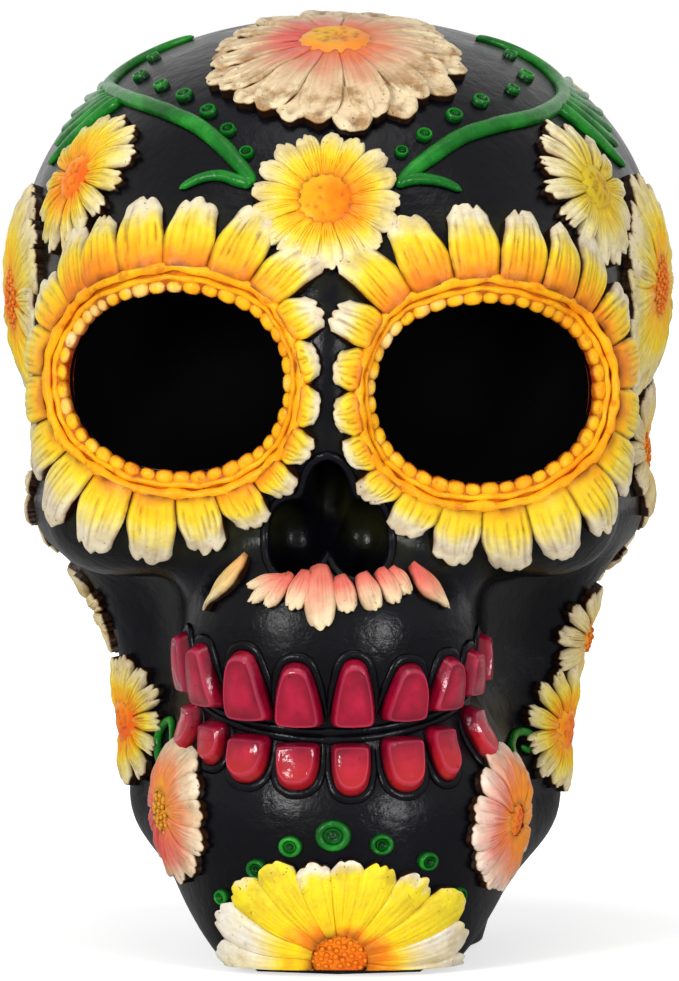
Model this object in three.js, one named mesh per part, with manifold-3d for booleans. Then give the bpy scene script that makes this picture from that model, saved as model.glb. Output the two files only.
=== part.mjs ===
// A sugar skull ornament of hand-painted cast resin, standing on a felt base.
// The upper skull and the lower jaw are two castings, and the eye wreaths, flowers, vines, teeth and
// dots are small castings glued onto them.
// Millimetres, +X to the right of someone who looks at the face, the face towards -Y, +Z up.
// The origin is on the underside of the felt, below the middle of the skull.

import * as THREE from 'three';
import { mergeVertices } from 'three/addons/utils/BufferGeometryUtils.js';
import Module from 'manifold-3d';

const wasm = await Module();
wasm.setup();

// Driving sizes of the bare skull
const SKULL_WIDTH = 103;
const SKULL_DEPTH = 126;
const SKULL_HEIGHT = 146;
const JAW_SIDESTEP = 1.4;
const FELT_THICKNESS = 1;
const FELT_INSET = 1.5;

// Fits between glued pieces
const GLUE_GAP = 0.32;
const NEIGHBOUR_GAP = 0.35;
const SEAM_GAP = 0.3;
const ROOT_DEPTH = 1.8;
const CUT_OVERRUN = 20;

// Flowers: radius from the middle to a petal tip
const TOP_FLOWER_RADIUS = 25;
const CHIN_FLOWER_RADIUS = 15.4;
const BACK_FLOWER_RADIUS = 19;
const CROWN_FLOWER_RADIUS = 15;
const SIDE_FLOWER_RADIUS = 18;
const FOREHEAD_FLOWER_RADIUS = 11.4;
const TEMPLE_FLOWER_RADIUS = 12;
const EAR_FLOWER_RADIUS = 12;
const NAPE_FLOWER_RADIUS = 10.5;
const HINGE_FLOWER_RADIUS = 9.3;
const JAW_ANGLE_FLOWER_RADIUS = 10.5;
const JAW_FLOWER_RADIUS = 11.3;
const PETAL_HEIGHT = 2.2;
const PETAL_TIP_HEIGHT = 1.3;
const PETAL_GROOVE_HEIGHT = 0.9;
const FLOWER_DISC_HEIGHT = 2.9;
const WIDE_FLOWER_THICKENING_SHARE = 1.35;
const SMALL_FLOWER_PETAL_COUNT = 13;

// Flower shapes, as shares of the radius or of the height named above
const DISC_SHARE = 0.3;
const DISC_RIM_SHARE = 0.9;
const WAIST_SHARE = 0.62;
const NOTCH_SHARE = 0.82;
const PETAL_VARIATION_SHARE = 0.04;

// Eye wreaths
const EYE_RING_WIDTH = 4.2;
const EYE_RING_HEIGHT = 3.1;
const EYE_RING_RIM_HEIGHT = 1.7;
const EYE_PETAL_LENGTH = 10.6;
const EYE_PETAL_GROOVE = 1.4;
const SHORT_PETAL_DROP_DEGREES = 20;
const EYE_PETAL_HEIGHT = 2.4;
const WREATH_PARTING = 0.9;
const EYE_PETAL_COUNT = 17;
const EYE_RING_BEAD_COUNT = 12;
const BEAD_DIP_SHARE = 0.85;
const EYE_NOTCH_SHARE = 0.76;
const EYE_PETAL_VARIATION_SHARE = 0.06;
const NOSEWARD_SHORTENING_SHARE = 0.78;

// Teeth
const UPPER_TOOTH_WIDTH = 7.3;
const UPPER_TOOTH_LENGTH = 10.4;
const LOWER_TOOTH_WIDTH = 6.5;
const LOWER_TOOTH_LENGTH = 7;
const TOOTH_HEIGHT = 2.5;
const TOOTH_EDGE_HEIGHT = 1.2;
const TOOTH_CROWN_SHARE = 0.6;
const TOOTH_CROWN_DOME_SHARE = 0.95;
const MOUTH_GAP = 2.6;
const SMILE_RISE = 7.7;

// Moustache petals
const MOUSTACHE_PETAL_WIDTH = 4.1;
const MOUSTACHE_LEAF_WIDTH = 3.6;
const MOUSTACHE_LEAF_LENGTH = 10.6;
const MOUSTACHE_HEIGHT = 1.5;
const MOUSTACHE_ROOT_RADIUS = 1;
const MOUSTACHE_ROOT_COUNT = 6;

// Vines, leaf sprays, curls and dots
const VINE_RADIUS = 1.5;
const BRANCH_RADIUS = 1;
const FROND_RADIUS = 1;
const CURL_RADIUS = 0.85;
const ROD_LIFT = 0.4;
const VINE_DOT_RADIUS = 1.15;
const CHIN_DOT_RADIUS = 2.6;
const DOT_HEIGHT = 0.9;
const VINE_END_SHARE = 0.45;
const VINE_END_SWELL_SHARE = 2.2;
const BRANCH_THINNING_SHARE = 0.6;
const CURL_THINNING_SHARE = 0.4;

// Fineness of the faceted solids
const SKULL_DETAIL_COUNT = 9;
const SOCKET_DETAIL_COUNT = 4;
const NOSE_DETAIL_COUNT = 2;
const WALK_STEP = 1.3;
const PROBE = 0.02;
const DOT_CORNER_COUNT = 6;
const FELT_CORNER_COUNT = 24;
const VINE_SPOT_COUNT = 14;
const BRANCH_SPOT_COUNT = 5;
const FROND_SPOT_COUNT = 3;
const VINE_SIDE_COUNT = 5;
const BRANCH_SIDE_COUNT = 4;
const EDGE_PASS_COUNT = 8;
const MARCH_COUNT = 60;
const MARCH_EASE_SHARE = 0.9;

// Lumps of bone that blend into the head. Places and reaches are shares of the skull's width, depth
// and height, with the height share counted from the flat base. Blends are shares of the width.
const lumpShares = [
  { of: 'braincase', at: [0, 0.087, 0.716], reach: [0.5, 0.429, 0.29], squareness: 2.28, blend: 0 },
  { of: 'occiput', at: [0, 0.19, 0.61], reach: [0.436, 0.325, 0.226], squareness: 2.1, blend: 0.1 },
  { of: 'forehead', at: [0, -0.175, 0.747], reach: [0.416, 0.262, 0.205], squareness: 2.2, blend: 0.12 },
  { of: 'skull floor', at: [0, 0.048, 0.486], reach: [0.428, 0.317, 0.164], squareness: 2.3, blend: 0.12 },
  {
    of: 'brow', at: [0.188, -0.365, 0.726], reach: [0.149, 0.079, 0.055],
    squareness: 2, blend: 0.12, pair: true,
  },
  { of: 'nose bridge', at: [0, -0.421, 0.63], reach: [0.064, 0.071, 0.116], squareness: 2, blend: 0.08 },
  { of: 'midface', at: [0, -0.27, 0.555], reach: [0.376, 0.167, 0.164], squareness: 2.4, blend: 0.09 },
  {
    of: 'cheek', at: [0.297, -0.302, 0.479], reach: [0.119, 0.087, 0.062],
    squareness: 2, blend: 0.08, pair: true,
  },
  {
    of: 'side rim', at: [0.362, -0.262, 0.605], reach: [0.075, 0.08, 0.12],
    squareness: 2, blend: 0.09, pair: true,
  },
  { of: 'upper jaw', at: [0, -0.286, 0.345], reach: [0.222, 0.198, 0.13], squareness: 2.3, blend: 0.06 },
  {
    of: 'lower jaw', at: [0, -0.25, 0.17], reach: [0.272, 0.217, 0.135],
    squareness: 2.05, blend: 0.07, low: true,
  },
  {
    of: 'chin', at: [0, -0.27, 0.062], reach: [0.187, 0.167, 0.116],
    squareness: 2.2, blend: 0.12, low: true,
  },
  {
    of: 'jaw filler', at: [0, -0.055, 0.308], reach: [0.295, 0.23, 0.342],
    squareness: 2.05, blend: 0.08, low: true,
  },
  { of: 'neck', at: [0, 0, 0.075], reach: [0.213, 0.214, 0.205], squareness: 2.6, blend: 0.1, low: true },
];

// Rounded bars of bone, one on each side, from one end to the other
const barShares = [
  { of: 'cheek arch', from: [0.35, -0.254, 0.46], to: [0.415, 0.016, 0.466], radius: 0.048, blend: 0.09 },
  {
    of: 'jaw branch', from: [0.248, -0.063, 0.171],
    to: [0.307, -0.048, 0.404], radius: 0.059, blend: 0.09, low: true,
  },
  {
    of: 'jaw edge', from: [0.107, -0.333, 0.055],
    to: [0.238, -0.063, 0.15], radius: 0.069, blend: 0.09, low: true,
  },
];

// Hollows that are cut from the bone
const socketShares = [
  { at: [-0.224, -0.429, 0.618], reach: [0.17, 0.25, 0.0945], squareness: 2.1 },
  { at: [0.229, -0.429, 0.607], reach: [0.167, 0.25, 0.0955], squareness: 2.1 },
];
const noseShares = [
  { at: [0.048, -0.46, 0.455], reach: [0.05, 0.095, 0.045], squareness: 2.2 },
  { at: [-0.048, -0.46, 0.455], reach: [0.05, 0.095, 0.045], squareness: 2.2 },
  { at: [0, -0.46, 0.49], reach: [0.042, 0.095, 0.053], squareness: 2 },
];

// The point inside the head from which every ornament is aimed
const coreShare = [0, -0.032, 0.541];

// The jaw's outline seen from the side, as depth and height shares: the mouth line from the front,
// up the jaw branch, over its knob, down behind it and back through the neck
const jawSeamShares = [
  [-0.62, 0.21],
  [-0.27, 0.31],
  [-0.19, 0.418],
  [0.032, 0.418],
  [0.08, 0.308],
  [0.42, 0.308],
];
const mouthShare = 0.2476;
const jawMiddleShare = -0.286;

// Flowers, aimed from the core by their bearing round the head and their rise, both in degrees
const flowers = [
  {
    name: 'forehead_flower', bearing: -0.5, rise: 37.3,
    radius: FOREHEAD_FLOWER_RADIUS, petals: 15, colour: 'yellow',
  },
  {
    name: 'top_flower', bearing: 1, rise: 67.5, radius: TOP_FLOWER_RADIUS,
    stretch: 0.82, petals: 18, colour: 'rose',
  },
  {
    name: 'temple_flower_left', bearing: -51.5, rise: 40.3,
    radius: TEMPLE_FLOWER_RADIUS, petals: 12, colour: 'yellow',
  },
  {
    name: 'temple_flower_right', bearing: 52.8, rise: 39,
    radius: TEMPLE_FLOWER_RADIUS, petals: 12, colour: 'yellow',
  },
  {
    name: 'side_flower_left', bearing: -83, rise: 25,
    radius: SIDE_FLOWER_RADIUS, petals: 16, colour: 'yellow',
  },
  {
    name: 'side_flower_right', bearing: 83, rise: 27,
    radius: SIDE_FLOWER_RADIUS, petals: 16, colour: 'yellow',
  },
  {
    name: 'ear_flower_left', bearing: -110, rise: -8,
    radius: EAR_FLOWER_RADIUS, petals: 12, colour: 'cream',
  },
  {
    name: 'ear_flower_right', bearing: 102, rise: -2,
    radius: EAR_FLOWER_RADIUS, petals: 12, colour: 'cream',
  },
  {
    name: 'nape_flower_right', bearing: 112, rise: -25,
    radius: NAPE_FLOWER_RADIUS, petals: 11, colour: 'cream',
  },
  {
    name: 'hinge_flower_left', bearing: -96, rise: -35,
    radius: HINGE_FLOWER_RADIUS, petals: 11, colour: 'cream',
  },
  {
    name: 'hinge_flower_right', bearing: 88, rise: -39,
    radius: HINGE_FLOWER_RADIUS, petals: 11, colour: 'cream',
  },
  {
    name: 'jaw_angle_flower_left', bearing: -78, rise: -53,
    radius: JAW_ANGLE_FLOWER_RADIUS, petals: 12, colour: 'yellow',
  },
  {
    name: 'jaw_angle_flower_right', bearing: 80, rise: -51.5,
    radius: JAW_ANGLE_FLOWER_RADIUS, petals: 12, colour: 'yellow',
  },
  {
    name: 'jaw_flower_left', bearing: -33, rise: -50.8,
    radius: JAW_FLOWER_RADIUS, petals: 12, colour: 'rose',
  },
  {
    name: 'jaw_flower_right', bearing: 35.5, rise: -50.4,
    radius: JAW_FLOWER_RADIUS, petals: 12, colour: 'rose',
  },
  {
    name: 'chin_flower', bearing: 2, rise: -56.8, radius: CHIN_FLOWER_RADIUS,
    stretch: 1.38, petals: 18, colour: 'yellow',
  },
  {
    name: 'back_flower', bearing: 180, rise: 14,
    radius: BACK_FLOWER_RADIUS, petals: 16, colour: 'rose',
  },
  {
    name: 'crown_flower_left', bearing: -142, rise: 44,
    radius: CROWN_FLOWER_RADIUS, petals: 13, colour: 'yellow',
  },
  {
    name: 'crown_flower_right', bearing: 142, rise: 44,
    radius: CROWN_FLOWER_RADIUS, petals: 13, colour: 'yellow',
  },
];

// Routes over the skin, as bearing and rise in degrees
const leftVineRoute = [
  [-13.5, 39.4], [-17.5, 41], [-24, 45], [-30, 48], [-41, 51], [-60, 54.6], [-80, 57], [-90, 61], [-95, 66],
];
const rightVineRoute = [
  [13.5, 39.9], [18, 43.6], [26, 47], [35.5, 49.4], [49, 51.4], [66, 54.8], [81, 58.5], [92, 63], [96, 67],
];
const leftBranchRoute = [[-15, 40], [-19, 40.8], [-22.5, 40.2], [-25.5, 38.2]];
const rightBranchRoute = [[14.5, 40.5], [17.5, 39.4], [20.7, 38.7], [23.4, 38]];
const leftFrondRoutes = [
  [[-60, 54.4], [-66, 50], [-74, 46.5]],
  [[-62, 54.6], [-72, 50.5], [-82, 47.5]],
  [[-66, 54.8], [-79, 52], [-91, 50]],
  [[-70, 55.2], [-84, 54.4], [-96, 53.5]],
];
const rightFrondRoutes = [
  [[62, 54.2], [66, 50], [74, 46.5]],
  [[64, 54.4], [72, 50.5], [82, 47.5]],
  [[68, 55], [79, 52], [91, 50]],
  [[72, 56.2], [84, 55], [96, 54]],
];
const leftCurlRoute = [[-47, -56.2], [-54, -57.6], [-62, -57.4], [-63, -55.8], [-55, -54.2], [-47, -53.6]];
const rightCurlRoute = [[57.7, -57.9], [52.5, -54.8], [51.5, -52.6], [58.6, -53], [65, -54.2], [60.5, -55.6]];

// Dots as bearing, rise and their share of the named dot radius
const leftVineDotShares = [
  [-83, 64.5, 0.9], [-65, 60, 1.1], [-46.6, 57, 1], [-35, 54.2, 1.1], [-26, 50.8, 1.05], [-20, 47.5, 0.95],
];
const rightVineDotShares = [
  [79, 65.5, 0.9], [63.5, 60, 1.1], [48, 56, 0.9], [34.5, 53, 1.1], [26, 50, 1.05], [18.4, 46.7, 0.95],
];
const chinDotShares = [
  [-18.9, -53.8, 0.5], [-11.7, -50.2, 0.66], [-5.9, -47.6, 0.68], [0.9, -46.4, 1],
  [8.6, -47.2, 0.68], [16.5, -49.4, 0.62], [23, -53.3, 0.5],
];

// Teeth from the middle outwards, by their angle round the jaw and their share of the named sizes
const leftUpperToothShares = [
  { angle: -11.1, width: 1, length: 0.98 },
  { angle: -30.4, width: 1.04, length: 1.04 },
  { angle: -51, width: 0.96, length: 0.93 },
  { angle: -67, width: 0.77, length: 0.88 },
];
const rightUpperToothShares = [
  { angle: 9.7, width: 0.89, length: 1.03 },
  { angle: 29.5, width: 0.96, length: 0.87 },
  { angle: 47.4, width: 0.88, length: 0.8 },
  { angle: 63.5, width: 0.74, length: 0.69 },
  { angle: 78.5, width: 0.68, length: 0.7 },
];
const leftLowerToothShares = [
  { angle: -12.3, width: 1, length: 0.94 },
  { angle: -33.8, width: 1.03, length: 0.98 },
  { angle: -53, width: 0.88, length: 0.88 },
  { angle: -74, width: 0.92, length: 1.03 },
];
const rightLowerToothShares = [
  { angle: 9.4, width: 0.89, length: 1.03 },
  { angle: 30.5, width: 1, length: 1.1 },
  { angle: 47.7, width: 0.8, length: 1.1 },
  { angle: 70, width: 0.92, length: 1.12 },
];

// The outline of a tooth with its root up, as shares of its width and length
const toothOutlineShares = [
  [0.5, -0.3], [0.43, 0.2], [0.22, 0.5], [-0.22, 0.5],
  [-0.43, 0.2], [-0.5, -0.3], [-0.4, -0.5], [0.4, -0.5],
];
const petalOutlineShares = [
  [0.46, -0.22], [0.46, 0.22], [0.2, 0.5], [-0.2, 0.5],
  [-0.46, 0.22], [-0.46, -0.22], [-0.2, -0.5], [0.2, -0.5],
];

// Petals under the nose: place across as a share of the skull's width, length and width as shares of
// the named petal width, and the lean of the tip in degrees
const moustacheShares = [
  { across: -0.106, length: 1.1, width: 0.66, lean: -52 },
  { across: -0.088, length: 1.2, width: 0.75, lean: -24 },
  { across: -0.05, length: 1.55, width: 1, lean: -12 },
  { across: -0.008, length: 2.35, width: 1.2, lean: 0 },
  { across: 0.034, length: 1.5, width: 1, lean: 8 },
  { across: 0.066, length: 1.35, width: 0.9, lean: 22 },
  { across: 0.093, length: 1.3, width: 0.8, lean: 46 },
];
const moustacheRowShare = 0.408;
const moustacheLeafShares = { across: 0.146, row: 0.405, lean: 36 };

// Colours of the painted resin
const paints = {
  black: { color: 0x16171b, roughness: 0.35 },
  yellow: { color: 0xf3cf3a, roughness: 0.5 },
  orange: { color: 0xf39a12, roughness: 0.45 },
  rose: { color: 0xeab39c, roughness: 0.5 },
  cream: { color: 0xf0e2b4, roughness: 0.55 },
  crimson: { color: 0xb3203f, roughness: 0.3 },
  green: { color: 0x137a33, roughness: 0.4 },
  felt: { color: 0x1d1d1f, roughness: 0.95 },
};

const degrees = Math.PI / 180;
const up = new THREE.Vector3(0, 0, 1);

// A point of the skull from its shares of width, depth and height
function place([across, along, high], low = false) {
  const x = across * SKULL_WIDTH + (low ? JAW_SIDESTEP : 0);
  return new THREE.Vector3(x, along * SKULL_DEPTH, FELT_THICKNESS + high * SKULL_HEIGHT);
}

function spread([across, along, high]) {
  return new THREE.Vector3(across * SKULL_WIDTH, along * SKULL_DEPTH, high * SKULL_HEIGHT);
}

function mirrored([across, along, high], side) {
  return [side * across, along, high];
}

function makeLump(share, side = 1) {
  return {
    at: place(mirrored(share.at, side), share.low),
    reach: spread(share.reach),
    squareness: share.squareness,
    blend: (share.blend || 0) * SKULL_WIDTH,
  };
}

function makeBar(share, side) {
  return {
    from: place(mirrored(share.from, side), share.low),
    to: place(mirrored(share.to, side), share.low),
    radius: share.radius * SKULL_WIDTH,
    blend: share.blend * SKULL_WIDTH,
  };
}

const sidesOf = (share) => (share.pair ? [-1, 1] : [1]);
const lumps = lumpShares.flatMap((share) => sidesOf(share).map((side) => makeLump(share, side)));
const bars = barShares.flatMap((share) => [-1, 1].map((side) => makeBar(share, side)));

// How many times a point is as far from a lump's middle as its skin
function lumpLevel(point, { at, reach, squareness }) {
  const across = Math.abs(point.x - at.x) / reach.x;
  const along = Math.abs(point.y - at.y) / reach.y;
  const high = Math.abs(point.z - at.z) / reach.z;
  return (across ** squareness + along ** squareness + high ** squareness) ** (1 / squareness);
}

// Distance from a point to a lump's skin, less than zero inside
function lumpDistance(point, lump) {
  const level = Math.max(lumpLevel(point, lump), Number.EPSILON);
  const { at, reach, squareness } = lump;
  const power = squareness - 1;
  const slopeX = (Math.abs(point.x - at.x) / reach.x / level) ** power / reach.x;
  const slopeY = (Math.abs(point.y - at.y) / reach.y / level) ** power / reach.y;
  const slopeZ = (Math.abs(point.z - at.z) / reach.z / level) ** power / reach.z;
  const slope = Math.max(Math.hypot(slopeX, slopeY, slopeZ), Number.EPSILON);
  return (level - 1) / slope;
}

function barDistance(point, { from, to, radius }) {
  const length = to.clone().sub(from);
  const offset = point.clone().sub(from);
  const along = THREE.MathUtils.clamp(offset.dot(length) / length.lengthSq(), 0, 1);
  return offset.addScaledVector(length, -along).length() - radius;
}

// The smaller of two distances, with the crease between them rounded by the blend
function blended(first, second, blend) {
  if (blend === 0) {
    return Math.min(first, second);
  }
  const share = Math.max(blend - Math.abs(first - second), 0) / blend;
  return Math.min(first, second) - share * share * blend / 4;
}

// Distance from a point to the skin of the whole bare head, less than zero inside
function headDistance(point) {
  let distance = Infinity;
  for (const lump of lumps) {
    distance = blended(distance, lumpDistance(point, lump), Number.isFinite(distance) ? lump.blend : 0);
  }
  for (const bar of bars) {
    distance = blended(distance, barDistance(point, bar), bar.blend);
  }
  return distance;
}

function skinNormal(point) {
  const here = headDistance(point);
  const x = headDistance(point.clone().setX(point.x + PROBE)) - here;
  const y = headDistance(point.clone().setY(point.y + PROBE)) - here;
  const z = headDistance(point.clone().setZ(point.z + PROBE)) - here;
  return new THREE.Vector3(x, y, z).normalize();
}

// From a point inside the head, the place along a direction where the skin grown by a margin is met
function skinAlong(inside, direction, margin = 0) {
  let travel = 0;
  const point = inside.clone();
  for (let march = 0; march < MARCH_COUNT; march += 1) {
    travel -= MARCH_EASE_SHARE * (headDistance(point) - margin);
    point.copy(inside).addScaledVector(direction, travel);
  }
  return point;
}

const core = place(coreShare);

function aim(bearing, rise) {
  const flat = Math.cos(rise * degrees);
  const x = flat * Math.sin(bearing * degrees);
  const y = -flat * Math.cos(bearing * degrees);
  return new THREE.Vector3(x, y, Math.sin(rise * degrees));
}

// A seat on the skin: its point, outward normal, and the level and uphill directions along the skin
function makeSeat(point) {
  const normal = skinNormal(point);
  const level = up.clone().cross(normal).normalize();
  const uphill = normal.clone().cross(level);
  return { point, normal, level, uphill };
}

function seatAt(bearing, rise) {
  return makeSeat(skinAlong(core, aim(bearing, rise)));
}

function headingFrom(seat, angle) {
  const heading = seat.level.clone().multiplyScalar(Math.cos(angle));
  return heading.addScaledVector(seat.uphill, Math.sin(angle));
}

// Walks along the skin and gives the spots at the asked distances, which grow along the list
function walkSkin(start, heading, distances) {
  const point = start.clone();
  const forward = heading.clone();
  const spots = [];
  let walked = 0;
  let normal = skinNormal(point);
  for (const distance of distances) {
    const steps = Math.ceil((distance - walked) / WALK_STEP);
    const step = steps > 0 ? (distance - walked) / steps : 0;
    for (let count = 0; count < steps; count += 1) {
      point.addScaledVector(forward, step);
      normal = skinNormal(point);
      point.addScaledVector(normal, -headDistance(point));
      forward.addScaledVector(normal, -forward.dot(normal)).normalize();
    }
    walked = Math.max(walked, distance);
    spots.push({ point: point.clone(), normal: normal.clone() });
  }
  return spots;
}

// A triangle mesh as a solid that can be cut and joined
function solidFrom(geometry) {
  const bare = geometry.clone();
  bare.deleteAttribute('normal');
  bare.deleteAttribute('uv');
  const merged = mergeVertices(bare);
  const vertProperties = new Float32Array(merged.attributes.position.array);
  const triVerts = new Uint32Array(merged.index.array);
  return new wasm.Manifold(new wasm.Mesh({ numProp: 3, vertProperties, triVerts }));
}

function geometryFrom(solid) {
  const mesh = solid.getMesh();
  const geometry = new THREE.BufferGeometry();
  geometry.setAttribute('position', new THREE.BufferAttribute(new Float32Array(mesh.vertProperties), 3));
  geometry.setIndex(new THREE.BufferAttribute(new Uint32Array(mesh.triVerts), 1));
  geometry.computeVertexNormals();
  return geometry;
}

// The biggest body of a solid, so that a cut leaves no crumbs
function biggestBody(solid) {
  const bodies = solid.decompose();
  return bodies.reduce((best, body) => (body.volume() > best.volume() ? body : best));
}

// Collects triangles by vertex number
class Skin {
  constructor() {
    this.positions = [];
    this.triangles = [];
  }

  vertex(point) {
    this.positions.push(point.x, point.y, point.z);
    return this.positions.length / 3 - 1;
  }

  quad(a, b, c, d) {
    this.triangles.push(a, b, c, a, c, d);
  }

  solid() {
    const geometry = new THREE.BufferGeometry();
    geometry.setAttribute('position', new THREE.Float32BufferAttribute(this.positions, 3));
    geometry.setIndex(this.triangles);
    return solidFrom(geometry);
  }
}

// A body that stands on the skin. Each column runs outwards over spots that hold a skin point, its
// normal and the body's height there. A middle spot closes the body, and without one it is a ring.
function raisedSolid(columns, middle) {
  const skin = new Skin();
  const raise = ({ point, normal, height }) => skin.vertex(point.clone().addScaledVector(normal, height));
  const sink = ({ point, normal }) => skin.vertex(point.clone().addScaledVector(normal, -ROOT_DEPTH));
  const tops = columns.map((column) => column.map(raise));
  const roots = columns.map((column) => column.map(sink));
  const last = columns[0].length - 1;
  columns.forEach((column, here) => {
    const next = (here + 1) % columns.length;
    for (let ring = 0; ring < last; ring += 1) {
      skin.quad(tops[here][ring], tops[here][ring + 1], tops[next][ring + 1], tops[next][ring]);
      skin.quad(roots[here][ring], roots[next][ring], roots[next][ring + 1], roots[here][ring + 1]);
    }
    skin.quad(tops[here][last], roots[here][last], roots[next][last], tops[next][last]);
    if (!middle) {
      skin.quad(tops[here][0], tops[next][0], roots[next][0], roots[here][0]);
    }
  });
  if (middle) {
    const top = raise(middle);
    const root = sink(middle);
    columns.forEach((column, here) => {
      const next = (here + 1) % columns.length;
      skin.triangles.push(top, tops[here][0], tops[next][0], root, roots[next][0], roots[here][0]);
    });
  }
  return skin.solid();
}

// A rod that lies partly sunk along spots on the skin and narrows towards its ends
function rodSolid(spots, radius, sides, taper) {
  const skin = new Skin();
  const last = spots.length - 1;
  const rings = spots.map(({ point, normal }, index) => {
    const before = spots[Math.max(index - 1, 0)].point;
    const after = spots[Math.min(index + 1, last)].point;
    const across = after.clone().sub(before).cross(normal).normalize();
    const width = radius * taper(index / last);
    return Array.from({ length: sides }, (unused, side) => {
      const turn = 2 * Math.PI * (side + 0.5) / sides;
      const corner = point.clone().addScaledVector(across, width * Math.cos(turn));
      return skin.vertex(corner.addScaledVector(normal, ROD_LIFT + width * Math.sin(turn)));
    });
  });
  for (let index = 0; index < last; index += 1) {
    for (let side = 0; side < sides; side += 1) {
      const next = (side + 1) % sides;
      skin.quad(rings[index][side], rings[index + 1][side], rings[index + 1][next], rings[index][next]);
    }
  }
  for (let side = 1; side < sides - 1; side += 1) {
    skin.triangles.push(rings[0][0], rings[0][side], rings[0][side + 1]);
    skin.triangles.push(rings[last][0], rings[last][side + 1], rings[last][side]);
  }
  return skin.solid();
}

// Spots along a smooth line through places given by bearing and rise
function routeSpots(route, count) {
  const points = route.map(([bearing, rise]) => seatAt(bearing, rise).point);
  const curve = new THREE.CatmullRomCurve3(points);
  return curve.getSpacedPoints(count).map((near) => {
    const normal = skinNormal(near);
    const point = near.clone().addScaledVector(normal, -headDistance(near));
    return { point, normal };
  });
}

// The bare head as one solid, grown by a margin, before anything is cut from it
function headSolid(margin) {
  const geometry = new THREE.IcosahedronGeometry(1, SKULL_DETAIL_COUNT);
  const corners = geometry.attributes.position;
  const direction = new THREE.Vector3();
  for (let index = 0; index < corners.count; index += 1) {
    direction.fromBufferAttribute(corners, index).normalize();
    const point = skinPoint(direction, margin);
    corners.setXYZ(index, point.x, point.y, point.z);
  }
  return solidFrom(geometry);
}

// Skin points found so far, so that the shared corners of neighbouring facets are worked out once
const foundPoints = new Map();

function skinPoint(direction, margin) {
  const key = [direction.x, direction.y, direction.z, margin].map((value) => Math.round(value * 1e6)).join();
  if (!foundPoints.has(key)) {
    foundPoints.set(key, skinAlong(core, direction, margin));
  }
  return foundPoints.get(key);
}

function lumpSolid(lump, detail) {
  const geometry = new THREE.IcosahedronGeometry(1, detail);
  const corners = geometry.attributes.position;
  const corner = new THREE.Vector3();
  for (let index = 0; index < corners.count; index += 1) {
    corner.fromBufferAttribute(corners, index).normalize().multiply(lump.reach);
    const level = lumpLevel(corner.clone().add(lump.at), lump);
    corner.divideScalar(level).add(lump.at);
    corners.setXYZ(index, corner.x, corner.y, corner.z);
  }
  return solidFrom(geometry);
}

// Everything below the flat base
function belowBase() {
  const size = 2 * SKULL_DEPTH;
  const block = new THREE.BoxGeometry(size, size, SKULL_HEIGHT);
  block.translate(0, 0, FELT_THICKNESS - SKULL_HEIGHT / 2);
  return solidFrom(block);
}

// The jaw's share of the head, as its side outline drawn across the whole width
function jawRegion(gap) {
  const outward = [0, -1, -1, 1, 1, 0];
  const line = jawSeamShares.map(([along, high], index) => {
    const point = place([0, along, high]);
    return new THREE.Vector2(point.y + outward[index] * gap, point.z + gap);
  });
  const front = line[0].x;
  const back = line[line.length - 1].x;
  line.push(new THREE.Vector2(back, -CUT_OVERRUN), new THREE.Vector2(front, -CUT_OVERRUN));
  const width = SKULL_WIDTH + 2 * CUT_OVERRUN;
  const geometry = new THREE.ExtrudeGeometry(new THREE.Shape(line), { depth: width, bevelEnabled: false });
  geometry.translate(0, 0, -width / 2);
  const turn = new THREE.Matrix4().set(0, 0, 1, 0, 1, 0, 0, 0, 0, 1, 0, 0, 0, 0, 0, 1);
  return solidFrom(geometry.applyMatrix4(turn));
}

const ground = belowBase();
const bareHead = headSolid(0).subtract(ground);
const glueLayer = headSolid(GLUE_GAP);

// Cuts a body to the skin it is glued on and away from the neighbours that lie over it
function seated(body, neighbours = []) {
  const cut = neighbours.reduce((rest, neighbour) => rest.subtract(neighbour), body.subtract(glueLayer));
  return biggestBody(cut.subtract(ground));
}

// A gentle, repeatable difference between petals
function wobble(index, strength) {
  return 1 + strength * Math.sin(2.4 * index * index + index);
}

// A flower: a domed disc with a ring of petals, grown by a margin. A groove and one or two corners
// make each petal. A wide flower has one more ring, so that its petals follow the curve of the head.
function flowerSolid({ bearing, rise, radius, petals, stretch = 1 }, margin = 0) {
  const seat = seatAt(bearing, rise);
  const wide = radius > CROWN_FLOWER_RADIUS;
  const corners = radius > EAR_FLOWER_RADIUS || petals > SMALL_FLOWER_PETAL_COUNT ? 3 : 2;
  const thick = wide ? WIDE_FLOWER_THICKENING_SHARE : 1;
  const count = corners * petals;
  const columns = Array.from({ length: count }, (unused, index) => {
    const groove = index % corners === 0;
    const angle = 2 * Math.PI * index / count;
    const long = radius * Math.hypot(stretch * Math.cos(angle), Math.sin(angle));
    const fullness = groove ? NOTCH_SHARE : wobble(Math.floor(index / corners), PETAL_VARIATION_SHARE);
    const tipHeight = groove ? PETAL_GROOVE_HEIGHT : thick * PETAL_TIP_HEIGHT;
    const waistHeight = groove ? PETAL_GROOVE_HEIGHT : thick * PETAL_HEIGHT;
    const rim = { distance: fullness * long + margin, height: tipHeight };
    const waist = { distance: WAIST_SHARE * long, height: waistHeight };
    const disc = { distance: DISC_SHARE * radius, height: DISC_RIM_SHARE * thick * FLOWER_DISC_HEIGHT };
    const profile = wide ? [disc, waist, rim] : [disc, rim];
    const spots = walkSkin(seat.point, headingFrom(seat, angle), profile.map(({ distance }) => distance));
    return spots.map((spot, ring) => ({ ...spot, height: profile[ring].height + margin }));
  });
  return raisedSolid(columns, { ...seat, height: thick * FLOWER_DISC_HEIGHT + margin });
}

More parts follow.
